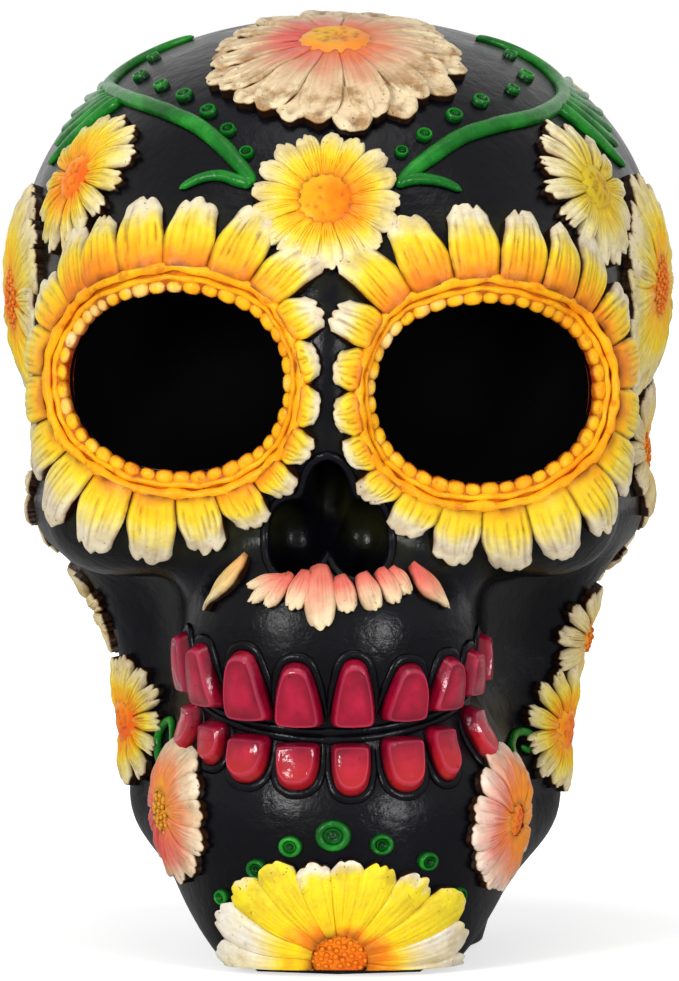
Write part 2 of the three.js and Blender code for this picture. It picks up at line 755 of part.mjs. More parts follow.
// Where the edge of a socket crosses the skin at an angle round it, seen from the front
function socketEdge(socket, angle) {
  const start = socket.at.clone().setY(socket.at.y + socket.reach.y);
  let share = 1;
  let point = start;
  for (let pass = 0; pass < EDGE_PASS_COUNT; pass += 1) {
    const across = share * socket.reach.x * Math.cos(angle);
    const high = share * socket.reach.z * Math.sin(angle);
    const inside = new THREE.Vector3(start.x + across, start.y, start.z + high);
    point = skinAlong(inside, new THREE.Vector3(0, -1, 0));
    share /= lumpLevel(point, socket);
  }
  return point;
}

// Columns that start at the edge of a socket and walk away from it over the skin
function socketColumns(socket, count, profile) {
  return Array.from({ length: count }, (unused, index) => {
    const angle = 2 * Math.PI * index / count;
    const start = socketEdge(socket, angle);
    const normal = skinNormal(start);
    const heading = start.clone().sub(socket.at).setY(0);
    heading.addScaledVector(normal, -heading.dot(normal)).normalize();
    const { distances, heights } = profile(index, start, heading);
    return walkSkin(start, heading, distances).map((spot, ring) => ({ ...spot, height: heights[ring] }));
  });
}

// How far a walk may go before it comes too near the line between the two wreaths
function roomToParting(start, heading, wanted) {
  let room = wanted;
  while (room > 0) {
    const [end] = walkSkin(start, heading, [room]);
    if (Math.sign(start.x) * end.point.x > WREATH_PARTING) {
      return room;
    }
    room -= WREATH_PARTING / 2;
  }
  return room;
}

function eyeRingSolid(socket) {
  const columns = socketColumns(socket, 2 * EYE_RING_BEAD_COUNT, (index) => ({
    distances: [0, EYE_RING_WIDTH / 2, EYE_RING_WIDTH],
    heights: [EYE_RING_RIM_HEIGHT, (index % 2 ? BEAD_DIP_SHARE : 1) * EYE_RING_HEIGHT, EYE_RING_RIM_HEIGHT],
  }));
  return raisedSolid(columns);
}

// The angle round a socket from the direction in which its petals are shortest, beside the nose
function noseTurn(socket, edge) {
  const across = -Math.sign(socket.at.x) * (edge.x - socket.at.x);
  return Math.atan2(edge.z - socket.at.z, across) + SHORT_PETAL_DROP_DEGREES * degrees;
}

function eyePetalsSolid(socket) {
  const inner = EYE_RING_WIDTH + NEIGHBOUR_GAP;
  const columns = socketColumns(socket, 3 * EYE_PETAL_COUNT, (index, start, heading) => {
    const groove = index % 3 === 0;
    const noseward = Math.max(Math.cos(noseTurn(socket, start)), 0);
    const variation = groove ? EYE_NOTCH_SHARE : wobble(Math.floor(index / 3), EYE_PETAL_VARIATION_SHARE);
    const fullness = (1 - NOSEWARD_SHORTENING_SHARE * noseward ** 2) * variation;
    const wanted = inner + EYE_PETAL_LENGTH * fullness;
    const outer = Math.max(roomToParting(start, heading, wanted), inner + WREATH_PARTING);
    return {
      distances: [inner, outer],
      heights: groove ? [EYE_PETAL_GROOVE, PETAL_GROOVE_HEIGHT] : [EYE_PETAL_HEIGHT, PETAL_TIP_HEIGHT],
    };
  });
  return raisedSolid(columns);
}

// A pad on the skin, grown by a margin, whose outline is given as shares of its width and length
function padSolid(seat, turn, outline, rings, height, margin = 0) {
  const { shares, width, length } = outline;
  const columns = shares.map(([across, along]) => {
    const angle = Math.atan2(along * length, across * width);
    const reach = Math.hypot(across * width, along * length);
    const distances = rings.map(({ share }) => share * reach + margin);
    const spots = walkSkin(seat.point, headingFrom(seat, angle + turn), distances);
    return spots.map((spot, ring) => ({ ...spot, height: rings[ring].height + margin }));
  });
  return raisedSolid(columns, { ...seat, height: height + margin });
}

// A low round dot with a domed top, grown by a margin
function dotSolid([bearing, rise, share], radius, margin = 0) {
  const seat = seatAt(bearing, rise);
  const columns = Array.from({ length: DOT_CORNER_COUNT }, (unused, index) => {
    const heading = headingFrom(seat, 2 * Math.PI * index / DOT_CORNER_COUNT);
    const [spot] = walkSkin(seat.point, heading, [share * radius + margin]);
    return [{ ...spot, height: DOT_HEIGHT / 2 + margin }];
  });
  return raisedSolid(columns, { ...seat, height: DOT_HEIGHT + margin });
}

// A tooth's seat, found from the middle of the jaw at an angle round it and a height
function toothSeat(angle, height) {
  const middle = place([0, jawMiddleShare, 0]).setZ(height);
  return makeSeat(skinAlong(middle, aim(angle, 0)));
}

// A tooth on the upper or the lower side of the mouth line, which rises towards the cheeks
function toothSolid(share, isUpper, margin = 0) {
  const width = share.width * (isUpper ? UPPER_TOOTH_WIDTH : LOWER_TOOTH_WIDTH);
  const length = share.length * (isUpper ? UPPER_TOOTH_LENGTH : LOWER_TOOTH_LENGTH);
  const mouth = place([0, 0, mouthShare]).z + SMILE_RISE * (1 - Math.cos(share.angle * degrees));
  const height = mouth + (isUpper ? 1 : -1) * (MOUTH_GAP + length) / 2;
  const turn = isUpper ? 0 : Math.PI;
  const crown = { share: TOOTH_CROWN_SHARE, height: TOOTH_CROWN_DOME_SHARE * TOOTH_HEIGHT };
  const rings = [crown, { share: 1, height: TOOTH_EDGE_HEIGHT }];
  const outline = { shares: toothOutlineShares, width, length };
  return padSolid(toothSeat(share.angle, height), turn, outline, rings, TOOTH_HEIGHT, margin);
}

// A seat on the front of the upper jaw
function moustacheSpot(across, row) {
  const inside = place([across, jawMiddleShare, row]);
  return makeSeat(skinAlong(inside, new THREE.Vector3(0, -1, 0)));
}

// A petal that hangs from its root, leaning sideways by an angle
function hangingPetal(across, row, width, length, lean) {
  const seat = moustacheSpot(across, row);
  const rings = [{ share: 1, height: MOUSTACHE_HEIGHT / 2 }];
  const outline = { shares: petalOutlineShares, width, length };
  return padSolid(seat, lean * degrees, outline, rings, MOUSTACHE_HEIGHT);
}

function moustacheSolid() {
  const petals = moustacheShares.map(({ across, length, width, lean }) => {
    const long = length * MOUSTACHE_PETAL_WIDTH;
    const row = moustacheRowShare - (long - MOUSTACHE_PETAL_WIDTH) / 2 / SKULL_HEIGHT;
    return hangingPetal(across, row, width * MOUSTACHE_PETAL_WIDTH, long, lean);
  });
  const ends = [moustacheShares[1], moustacheShares[moustacheShares.length - 2]];
  const roots = Array.from({ length: MOUSTACHE_ROOT_COUNT }, (unused, index) => {
    const share = index / (MOUSTACHE_ROOT_COUNT - 1);
    return moustacheSpot(THREE.MathUtils.lerp(ends[0].across, ends[1].across, share), moustacheRowShare);
  });
  const rootBar = rodSolid(roots, MOUSTACHE_ROOT_RADIUS, BRANCH_SIDE_COUNT, () => 1);
  return petals.reduce((joined, petal) => joined.add(petal), rootBar);
}

function moustacheLeafSolid(side) {
  const { across, row, lean } = moustacheLeafShares;
  return hangingPetal(side * across, row, MOUSTACHE_LEAF_WIDTH, MOUSTACHE_LEAF_LENGTH, side * lean);
}

function vineSolid(vineRoute, branchRoute, frondRoutes) {
  const thinning = (share) => Math.min(1, VINE_END_SHARE + VINE_END_SWELL_SHARE * Math.min(share, 1 - share));
  const tapering = (share) => 1 - BRANCH_THINNING_SHARE * share;
  const vine = rodSolid(routeSpots(vineRoute, VINE_SPOT_COUNT), VINE_RADIUS, VINE_SIDE_COUNT, thinning);
  const branchSpots = routeSpots(branchRoute, BRANCH_SPOT_COUNT);
  const branch = rodSolid(branchSpots, BRANCH_RADIUS, BRANCH_SIDE_COUNT, tapering);
  const fronds = frondRoutes.map((route) => (
    rodSolid(routeSpots(route, FROND_SPOT_COUNT), FROND_RADIUS, BRANCH_SIDE_COUNT, tapering)
  ));
  return fronds.reduce((joined, frond) => joined.add(frond), vine.add(branch));
}

function curlSolid(route, margin = 0) {
  const tapering = (share) => 1 - CURL_THINNING_SHARE * share;
  return rodSolid(routeSpots(route, VINE_SPOT_COUNT), CURL_RADIUS + margin, VINE_SIDE_COUNT, tapering);
}

// The felt under the base follows the base's outline and stops short of its edge
function feltGeometry() {
  const middle = place([0, 0, 0], true);
  const corners = Array.from({ length: FELT_CORNER_COUNT }, (unused, index) => {
    const angle = 2 * Math.PI * index / FELT_CORNER_COUNT;
    const direction = new THREE.Vector3(Math.cos(angle), Math.sin(angle), 0);
    const edge = skinAlong(middle, direction, -FELT_INSET);
    return new THREE.Vector2(edge.x, edge.y);
  });
  return new THREE.ExtrudeGeometry(new THREE.Shape(corners), { depth: FELT_THICKNESS, bevelEnabled: false });
}

const skull = new THREE.Group();

function addPiece(name, geometry, paint) {
  const { color, roughness } = paints[paint];
  const material = new THREE.MeshStandardMaterial({ color, roughness, metalness: 0, flatShading: true });
  const mesh = new THREE.Mesh(geometry, material);
  mesh.name = name;
  skull.add(mesh);
}

function addSolid(name, solid, paint) {
  addPiece(name, geometryFrom(solid), paint);
}

// The upper skull: eye sockets, the nose hollow and the jaw's share are cut away, and the vine dots
// are cast on
const sockets = socketShares.map((share) => makeLump(share));
const noseHollow = noseShares.map((share) => lumpSolid(makeLump(share), NOSE_DETAIL_COUNT));
const hollows = [...sockets.map((socket) => lumpSolid(socket, SOCKET_DETAIL_COUNT)), ...noseHollow];
const jawlessHead = bareHead.subtract(jawRegion(SEAM_GAP));
const openSkull = hollows.reduce((rest, hollow) => rest.subtract(hollow), jawlessHead);
const vineDotShares = [...leftVineDotShares, ...rightVineDotShares];
const vineDots = vineDotShares.map((share) => dotSolid(share, VINE_DOT_RADIUS));
addSolid('cranium', biggestBody(vineDots.reduce((joined, dot) => joined.add(dot), openSkull)), 'black');

addSolid('mandible', biggestBody(bareHead.intersect(jawRegion(0))), 'black');
addPiece('felt_base', feltGeometry(), 'felt');

// A piece keeps clear of those that were added before it. The small pieces come first and stay whole,
// and the flowers near them give way.
const keepouts = [];

function addClear(name, paint, make) {
  addSolid(name, seated(make(0), keepouts), paint);
  keepouts.push(make(NEIGHBOUR_GAP));
}

function addTeeth(name, shares, isUpper) {
  shares.forEach((share, index) => {
    addClear(`${name}_${index + 1}`, 'crimson', (margin) => toothSolid(share, isUpper, margin));
  });
}

addTeeth('upper_tooth_left', leftUpperToothShares, true);
addTeeth('upper_tooth_right', rightUpperToothShares, true);
addTeeth('lower_tooth_left', leftLowerToothShares, false);
addTeeth('lower_tooth_right', rightLowerToothShares, false);

chinDotShares.forEach((share, index) => {
  addClear(`chin_dot_${index + 1}`, 'green', (margin) => dotSolid(share, CHIN_DOT_RADIUS, margin));
});

addClear('jaw_curl_left', 'green', (margin) => curlSolid(leftCurlRoute, margin));
addClear('jaw_curl_right', 'green', (margin) => curlSolid(rightCurlRoute, margin));

for (const flower of flowers) {
  addClear(flower.name, flower.colour, (margin) => flowerSolid(flower, margin));
}

sockets.forEach((socket, index) => {
  const side = ['left', 'right'][index];
  addSolid(`eye_ring_${side}`, seated(eyeRingSolid(socket)), 'orange');
  addSolid(`eye_petals_${side}`, seated(eyePetalsSolid(socket), keepouts), 'yellow');
});

const leftVine = vineSolid(leftVineRoute, leftBranchRoute, leftFrondRoutes);
const rightVine = vineSolid(rightVineRoute, rightBranchRoute, rightFrondRoutes);
addSolid('vine_left', seated(leftVine, keepouts), 'green');
addSolid('vine_right', seated(rightVine, keepouts), 'green');

addSolid('moustache_petals', seated(moustacheSolid(), keepouts), 'rose');
addSolid('moustache_leaf_left', seated(moustacheLeafSolid(-1), keepouts), 'rose');
addSolid('moustache_leaf_right', seated(moustacheLeafSolid(1), keepouts), 'rose');

export default skull;
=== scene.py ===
# A sugar skull ornament of hand-painted cast resin, on a felt base.
# Shapes are worked out in millimetres and written into the meshes in metres.
# The face looks towards -Y and +X is to the right of someone who looks at it.
import math
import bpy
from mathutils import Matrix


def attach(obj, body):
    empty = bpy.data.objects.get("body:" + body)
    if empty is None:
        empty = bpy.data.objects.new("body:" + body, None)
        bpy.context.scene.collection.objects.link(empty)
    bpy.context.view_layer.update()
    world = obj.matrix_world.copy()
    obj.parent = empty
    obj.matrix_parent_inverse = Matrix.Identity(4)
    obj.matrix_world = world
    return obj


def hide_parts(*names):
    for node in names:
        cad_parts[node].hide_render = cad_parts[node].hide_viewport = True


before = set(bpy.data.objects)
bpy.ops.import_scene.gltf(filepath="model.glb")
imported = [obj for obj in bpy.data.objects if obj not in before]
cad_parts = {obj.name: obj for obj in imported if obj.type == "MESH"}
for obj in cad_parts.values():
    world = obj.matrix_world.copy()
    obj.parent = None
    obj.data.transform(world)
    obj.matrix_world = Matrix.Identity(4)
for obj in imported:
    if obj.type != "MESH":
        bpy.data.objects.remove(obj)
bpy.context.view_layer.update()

import zlib

import bmesh
import bpy
import numpy as np
from mathutils import Vector

MM = 0.001

# Driving sizes of the bare skull
SKULL_WIDTH = 103
SKULL_DEPTH = 126
SKULL_HEIGHT = 146
JAW_SIDESTEP = 1.4
FELT_THICKNESS = 1
SKULL_SIZE = np.array([SKULL_WIDTH, SKULL_DEPTH, SKULL_HEIGHT])

# Fits and fineness
SEAM_GAP = 0.03
ROOT_DEPTH = 0.9
CUT_OVERRUN = 20
CUT_PRECISION = 1e-7
SORT_DIGITS = 4
WALK_STEP = 1.0
PROBE = 0.02
TINY = 1e-12
MARCH_COUNT = 60
HEAD_MARCHES = 32
MARCH_EASE = 0.9
SKULL_DETAIL = 7
SOCKET_DETAIL = 6
NOSE_DETAIL = 5
SHARP_EDGE = math.radians(55)
FACEWARD = np.array([0.0, -1.0, 0.0])

# Charts of the skin: the step between their rings, how far they reach and their spokes
CHART_STEP = 1.0
CHART_BRINK = 1.000001
CHART_MARGIN = 1
SOCKET_CHART_REACH = 17
TOOTH_CHART_REACH = 9
MOUSTACHE_CHART_REACH = 13
FLOWER_CHART_COLUMNS = 160
SOCKET_CHART_COLUMNS = 240
SMALL_CHART_COLUMNS = 96

# Paths that beads and vines follow
LINE_SPACING = 0.5
BEAD_SIDES = 12
RIDGE_LIFT = 0.1

# Lumps of bone that blend into the head. Places and reaches are shares of the skull's width, depth
# and height, with the height share counted from the flat base. Blends are shares of the width.
lump_shares = [
    {"of": "braincase", "at": (0, 0.087, 0.716), "reach": (0.5, 0.429, 0.29), "squareness": 2.28},
    {"of": "occiput", "at": (0, 0.19, 0.61), "reach": (0.436, 0.325, 0.226), "squareness": 2.1, "blend": 0.1},
    {"of": "forehead", "at": (0, -0.175, 0.747), "reach": (0.416, 0.262, 0.205), "squareness": 2.2,
     "blend": 0.12},
    {"of": "skull floor", "at": (0, 0.048, 0.486), "reach": (0.428, 0.317, 0.164), "squareness": 2.3,
     "blend": 0.12},
    {"of": "brow", "at": (0.188, -0.365, 0.726), "reach": (0.149, 0.079, 0.055), "squareness": 2,
     "blend": 0.12, "pair": True},
    {"of": "nose bridge", "at": (0, -0.421, 0.63), "reach": (0.064, 0.071, 0.116), "squareness": 2,
     "blend": 0.08},
    {"of": "midface", "at": (0, -0.27, 0.555), "reach": (0.376, 0.167, 0.164), "squareness": 2.4,
     "blend": 0.09},
    {"of": "cheek", "at": (0.297, -0.302, 0.479), "reach": (0.119, 0.087, 0.062), "squareness": 2,
     "blend": 0.08, "pair": True},
    {"of": "side rim", "at": (0.362, -0.262, 0.605), "reach": (0.075, 0.08, 0.12), "squareness": 2,
     "blend": 0.09, "pair": True},
    {"of": "upper jaw", "at": (0, -0.286, 0.345), "reach": (0.222, 0.198, 0.13), "squareness": 2.3,
     "blend": 0.06},
    {"of": "lower jaw", "at": (0, -0.25, 0.17), "reach": (0.272, 0.217, 0.135), "squareness": 2.05,
     "blend": 0.07, "low": True},
    {"of": "chin", "at": (0, -0.27, 0.062), "reach": (0.187, 0.167, 0.116), "squareness": 2.2,
     "blend": 0.12, "low": True},
    {"of": "jaw filler", "at": (0, -0.055, 0.308), "reach": (0.295, 0.23, 0.342), "squareness": 2.05,
     "blend": 0.08, "low": True},
    {"of": "neck", "at": (0, 0, 0.075), "reach": (0.213, 0.214, 0.205), "squareness": 2.6, "blend": 0.1,
     "low": True},
]

# Rounded bars of bone, one on each side, from one end to the other
bar_shares = [
    {"of": "cheek arch", "from": (0.35, -0.254, 0.46), "to": (0.415, 0.016, 0.466), "radius": 0.048,
     "blend": 0.09},
    {"of": "jaw branch", "from": (0.248, -0.063, 0.171), "to": (0.307, -0.048, 0.404), "radius": 0.059,
     "blend": 0.09, "low": True},
    {"of": "jaw edge", "from": (0.107, -0.333, 0.055), "to": (0.238, -0.063, 0.15), "radius": 0.069,
     "blend": 0.09, "low": True},
]

# Hollows that are cut from the bone
socket_shares = {
    "left": {"at": (-0.224, -0.429, 0.618), "reach": (0.17, 0.25, 0.0945), "squareness": 2.1},
    "right": {"at": (0.229, -0.429, 0.607), "reach": (0.167, 0.25, 0.0955), "squareness": 2.1},
}
nose_shares = [
    {"at": (0.048, -0.46, 0.455), "reach": (0.05, 0.095, 0.045), "squareness": 2.2},
    {"at": (-0.048, -0.46, 0.455), "reach": (0.05, 0.095, 0.045), "squareness": 2.2},
    {"at": (0, -0.46, 0.49), "reach": (0.042, 0.095, 0.053), "squareness": 2},
]
core_share = (0, -0.032, 0.541)
jaw_seam_shares = [(-0.62, 0.21), (-0.27, 0.31), (-0.19, 0.418), (0.032, 0.418), (0.08, 0.308), (0.42, 0.308)]
mouth_share = 0.2476
jaw_middle_share = -0.286

# Flowers, aimed from the core by their bearing round the head and their rise, both in degrees. The
# stretch widens a flower along the level direction.
flower_seats = {
    "forehead_flower": {"aim": (-0.5, 37.3), "radius": 11.4, "kind": "forehead"},
    "top_flower": {"aim": (1, 67.5), "radius": 25, "stretch": 0.82, "kind": "top"},
    "temple_flower_left": {"aim": (-51.5, 40.3), "radius": 12, "kind": "temple"},
    "temple_flower_right": {"aim": (52.8, 39), "radius": 12, "kind": "pale temple"},
    "side_flower_left": {"aim": (-83, 25), "radius": 18, "kind": "side"},
    "side_flower_right": {"aim": (83, 27), "radius": 18, "kind": "side"},
    "ear_flower_left": {"aim": (-110, -8), "radius": 12, "kind": "pale"},
    "ear_flower_right": {"aim": (102, -2), "radius": 12, "kind": "pale"},
    "nape_flower_right": {"aim": (112, -25), "radius": 10.5, "kind": "pale"},
    "hinge_flower_left": {"aim": (-96, -35), "radius": 9.3, "kind": "pale"},
    "hinge_flower_right": {"aim": (88, -39), "radius": 9.3, "kind": "pale"},
    "jaw_angle_flower_left": {"aim": (-78, -53), "radius": 10.5, "kind": "jaw angle"},
    "jaw_angle_flower_right": {"aim": (80, -51.5), "radius": 10.5, "kind": "jaw angle"},
    "jaw_flower_left": {"aim": (-33, -50.8), "radius": 11.3, "kind": "jaw"},
    "jaw_flower_right": {"aim": (35.5, -50.4), "radius": 11.3, "kind": "orange jaw"},
    "chin_flower": {"aim": (2, -56.8), "radius": 15.4, "stretch": 1.38, "kind": "chin"},
    "back_flower": {"aim": (180, 14), "radius": 19, "kind": "back"},
    "crown_flower_left": {"aim": (-142, 44), "radius": 15, "kind": "crown"},
    "crown_flower_right": {"aim": (142, 44), "radius": 15, "kind": "crown"},
}

# Each kind of flower: its rings of petals from the back one to the front one, its disc and its paint
flower_kinds = {
    "forehead": {"petals": [(17, 0.0, 1.0, 0.0)], "look": "round", "disc": "smooth", "disc share": 0.42,
                 "disc height": 2.6, "paint": "sunny", "slot": "yellow_paint"},
    "top": {"petals": [(15, 0.5, 0.97, 0.0), (15, 0.0, 0.92, 0.7)], "look": "spoon", "disc": "pitted",
            "disc share": 0.225, "disc height": 3.4, "paint": "rose", "slot": "rose_paint"},
    "temple": {"petals": [(14, 0.0, 1.0, 0.0)], "look": "ragged", "disc": "soft", "disc share": 0.3,
               "disc height": 2.6, "paint": "sunny", "slot": "yellow_paint"},
    "pale temple": {"petals": [(14, 0.0, 1.0, 0.0)], "look": "ragged", "disc": "straw", "disc share": 0.3,
                    "disc height": 2.6, "paint": "straw", "slot": "yellow_paint"},
    "side": {"petals": [(15, 0.5, 1.0, 0.0), (15, 0.0, 0.94, 0.5)], "look": "long", "disc": "grainy",
             "disc share": 0.28, "disc height": 3.0, "paint": "sunny", "slot": "yellow_paint"},
    "pale": {"petals": [(12, 0.0, 1.0, 0.0)], "look": "ragged", "disc": "grainy", "disc share": 0.28,
             "disc height": 2.6, "paint": "pale", "slot": "cream_paint"},
    "jaw angle": {"petals": [(13, 0.0, 1.0, 0.0)], "look": "ragged", "disc": "soft", "disc share": 0.34,
                  "disc height": 2.5, "paint": "sunny", "slot": "yellow_paint"},
    "jaw": {"petals": [(13, 0.0, 1.0, 0.0)], "look": "round", "disc": "honey", "disc share": 0.31,
            "disc height": 2.2, "paint": "blush", "slot": "rose_paint", "blush reach": 0.55},
    "orange jaw": {"petals": [(13, 0.0, 1.0, 0.0)], "look": "round", "disc": "soft", "disc share": 0.26,
                   "disc height": 2.2, "paint": "sunset", "slot": "rose_paint", "blush reach": 0.5},
    "chin": {"petals": [(17, 0.0, 1.0, 0.0)], "look": "broad", "disc": "grainy", "disc share": 0.34,
             "disc height": 1.3, "paint": "lemon", "slot": "yellow_paint", "tip glint": True},
    "back": {"petals": [(16, 0.5, 1.0, 0.0), (16, 0.0, 0.93, 0.6)], "look": "spoon", "disc": "pitted",
             "disc share": 0.26, "disc height": 3.4, "paint": "rose", "slot": "rose_paint"},
    "crown": {"petals": [(14, 0.0, 1.0, 0.0)], "look": "round", "disc": "smooth", "disc share": 0.36,
              "disc height": 2.7, "paint": "sunny", "slot": "yellow_paint"},
}

# How petals are modelled. Root, belly and tip are heights over the skin in millimetres, as are the
# crown across a petal, its grooves, its rim and its hollow. A petal fills the spread of its sector
# up to the shoulder and narrows by the taper from there. The rest are shares of its length.
petal_looks = {
    "round": {"root": 1.8, "belly": 2.0, "tip": 1.4, "crown": 0.3, "groove": 0.22, "rim": 0.0, "hollow":
              0.0, "rounding": 0.14, "bluntness": 2.6, "notch": 0.04, "shoulder": 0.8, "taper": 0.12,
              "spread": 1.14},
    "ragged": {"root": 1.6, "belly": 2.0, "tip": 1.3, "crown": 0.35, "groove": 0.3, "rim": 0.0, "hollow":
               0.0, "rounding": 0.16, "bluntness": 2.5, "notch": 0.12, "shoulder": 0.55, "taper": 0.24,
               "spread": 1.02},
    "long": {"root": 1.7, "belly": 2.0, "tip": 1.3, "crown": 0.35, "groove": 0.3, "rim": 0.1, "hollow": 0.0,
             "rounding": 0.16, "bluntness": 2.6, "notch": 0.06, "shoulder": 0.6, "taper": 0.2, "spread":
             1.02},
    "broad": {"root": 1.6, "belly": 2.1, "tip": 1.5, "crown": 0.4, "groove": 0.14, "rim": 0.0, "hollow":
              0.0, "rounding": 0.12, "bluntness": 2.1, "notch": 0.03, "shoulder": 0.8, "taper": 0.08,
              "spread": 1.17},
    "spoon": {"root": 1.7, "belly": 1.7, "tip": 1.4, "crown": 0.15, "groove": 0.14, "rim": 0.42, "hollow":
              0.3, "rounding": 0.24, "bluntness": 2.3, "notch": 0.02, "shoulder": 0.55, "taper": 0.15,
              "spread": 1.1},
    "wreath": {"root": 2.3, "belly": 2.3, "tip": 1.3, "crown": 0.32, "groove": 0.34, "rim": 0.05, "hollow":
               0.0, "rounding": 0.19, "bluntness": 2.3, "notch": 0.09, "shoulder": 0.34, "taper": 0.28,
               "spread": 1.0},
    "moustache": {"root": 1.4, "belly": 1.7, "tip": 1.2, "crown": 0.35, "groove": 0.16, "rim": 0.0,
                  "hollow": 0.0, "rounding": 0.16, "bluntness": 2.2, "notch": 0.06, "shoulder": 0.6,
                  "taper": 0.35, "spread": 1.0},
}
# How dark the walls and lips of petals are painted: partly the bare dark casting, partly painted shade
BARE_WALL_AND_SHADE = 1.8
PETAL_LIP = 0.4
PETAL_COLUMNS = 27
PETAL_ROWS = 20
ROOT_PETAL_COLUMNS = 21
ROOT_PETAL_ROWS = 18
PETAL_EDGE_EASE = 0.38
PETAL_WAVE = 0.06
PETAL_SHINGLE = 0.2
GROOVE_COUNT = 6
GROOVE_WIDTH = 0.06
DARKEST_GROOVE = 0.28
notch_places = (-0.36, 0.3)

# How pink or orange a flower's petals are: the angle of the strongest one in degrees, its strength and
# the share of it that every petal has
flower_blushes = {
    "top_flower": (165, 1, 0.1),
    "back_flower": (165, 1, 0.1),
    "jaw_flower_left": (225, 1.25, 0.4),
    "jaw_flower_right": (0, 1.3, 0.42),
    "forehead_flower": (-20, 0.75, 0.1),
    "temple_flower_left": (240, 0.6, 0.6),
    "temple_flower_right": (-60, 0.3, 0.6),
    "jaw_angle_flower_left": (0, 0.7, 0.6),
    "jaw_angle_flower_right": (180, 0.7, 0.6),
}

# Discs
DISC_RINGS = 12
DISC_COLUMNS = 48
DISC_GROOVE_DEPTH = 0.4
DISC_PIT_DEPTH = 0.3
DISC_SWELL = 0.3
DISC_WAVE = 0.05
FLORET_SPACING = 1.05
FLORET_SIZE = 0.5
FLORET_PROBE = 0.5
SUNFLOWER_TURN = math.radians(137.508)
disc_pits = {"smooth": 7, "pitted": 30, "soft": 24, "straw": 30, "grainy": 6, "honey": 20}

# Eye rings. Each cord has its distance from the socket's edge, its lift off the skin and its radius.
EYE_RING_WIDTH = 4.2
EYE_CORD_RADIUS = 0.8
eye_cords = [(3.45, 1.75, EYE_CORD_RADIUS), (2.1, 1.5, 0.45)]
CORD_SWAY = 0.12
CORD_QUIVER = 0.1
CORD_STEPS = 160
EYE_BAND_START = 0.4
EYE_BAND_HEIGHT = 1.5
BAND_ROWS = 9
EYE_BEADS = 42
EYE_BEAD_LENGTH = 1.9
EYE_BEAD_HEIGHT = 0.75
EYE_BEAD_LIFT = 0.9
EYE_BEAD_OVERLAP = 0.12

# Eye wreaths
WREATH_START = EYE_RING_WIDTH - 0.5
WREATH_EVEN_REACH = 3
WREATH_ROOT_GAP = 0.35
EYE_PETAL_LENGTH = 10.8
EYE_PETALS = 20
RING_FINENESS = 720
EDGE_TRIES = 8
PARTING_TRIES = 60
SHORT_PETAL_DROP = math.radians(20)
NOSEWARD_SHORTENING = 0.78
WREATH_PARTING = 0.9
PALEST_WREATH_TURN = {"left": math.radians(225), "right": math.radians(280)}

# Teeth
UPPER_TOOTH_WIDTH = 7.3
UPPER_TOOTH_LENGTH = 10.4
LOWER_TOOTH_WIDTH = 6.5
LOWER_TOOTH_LENGTH = 7.6
TOOTH_HEIGHT = 2.7
TOOTH_DOMING = 0.17
TOOTH_BEVEL = 0.14
TOOTH_WAVE = 0.06
TOOTH_LEAN = 0.18
TOOTH_COLUMNS = 64
UPPER_TOOTH_TILT = 0.1
MOUTH_GAP = 2.6
SMILE_RISE = 7.7
GUM_WIDTH = 0.8
GUM_HEIGHT = 0.5
GUM_MARGIN = 0.15
GUM_OUTSET = 0.3
GUM_LIFT = 0.05
GUM_COLUMNS = 96
GUM_STEPS = 60
MOUTH_RIDGE_OFFSET = 0.62
MOUTH_STEPS = 110
tooth_ring_shares = [0.15, 0.32, 0.48, 0.6, 0.7, 0.77, 0.82, 0.87, 0.92, 0.96, 1.0]
upper_outline_shares = [
    (0.53, -0.4), (0.44, 0.1), (0.3, 0.45), (0.12, 0.53), (-0.12, 0.53), (-0.3, 0.45), (-0.44, 0.1),
    (-0.53, -0.4), (-0.46, -0.52), (0.46, -0.52),
]
lower_outline_shares = [
    (0.52, -0.44), (0.52, 0.05), (0.42, 0.38), (0.18, 0.53), (-0.18, 0.53), (-0.42, 0.38), (-0.52, 0.05),
    (-0.52, -0.44), (-0.46, -0.54), (0.46, -0.54),
]
upper_tooth_shares = {
    "left": [(-11.1, 1, 0.98), (-30.4, 1.04, 1.04), (-51, 0.96, 0.93), (-67, 0.77, 0.88)],
    "right": [(9.7, 0.89, 1.03), (29.5, 0.96, 0.87), (47.4, 0.88, 0.8), (63.5, 0.74, 0.69),
              (78.5, 0.68, 0.7)],
}
lower_tooth_shares = {
    "left": [(-12.3, 1, 0.94), (-33.8, 1.03, 0.98), (-53, 0.76, 0.92), (-74, 0.7, 1.1)],
    "right": [(9.4, 0.89, 1.03), (30.5, 1, 1.1), (47.7, 0.7, 1.12), (70, 0.66, 1.2)],
}
tooth_rows = {
    "upper": {"way": 1, "turn": 0, "width": UPPER_TOOTH_WIDTH, "length": UPPER_TOOTH_LENGTH,
              "tilt": UPPER_TOOTH_TILT, "glow": 0, "outline": upper_outline_shares,
              "teeth": upper_tooth_shares, "node": "cranium"},
    "lower": {"way": -1, "turn": math.pi, "width": LOWER_TOOTH_WIDTH, "length": LOWER_TOOTH_LENGTH,
              "tilt": 0, "glow": 1, "outline": lower_outline_shares, "teeth": lower_tooth_shares,
              "node": "mandible"},
}

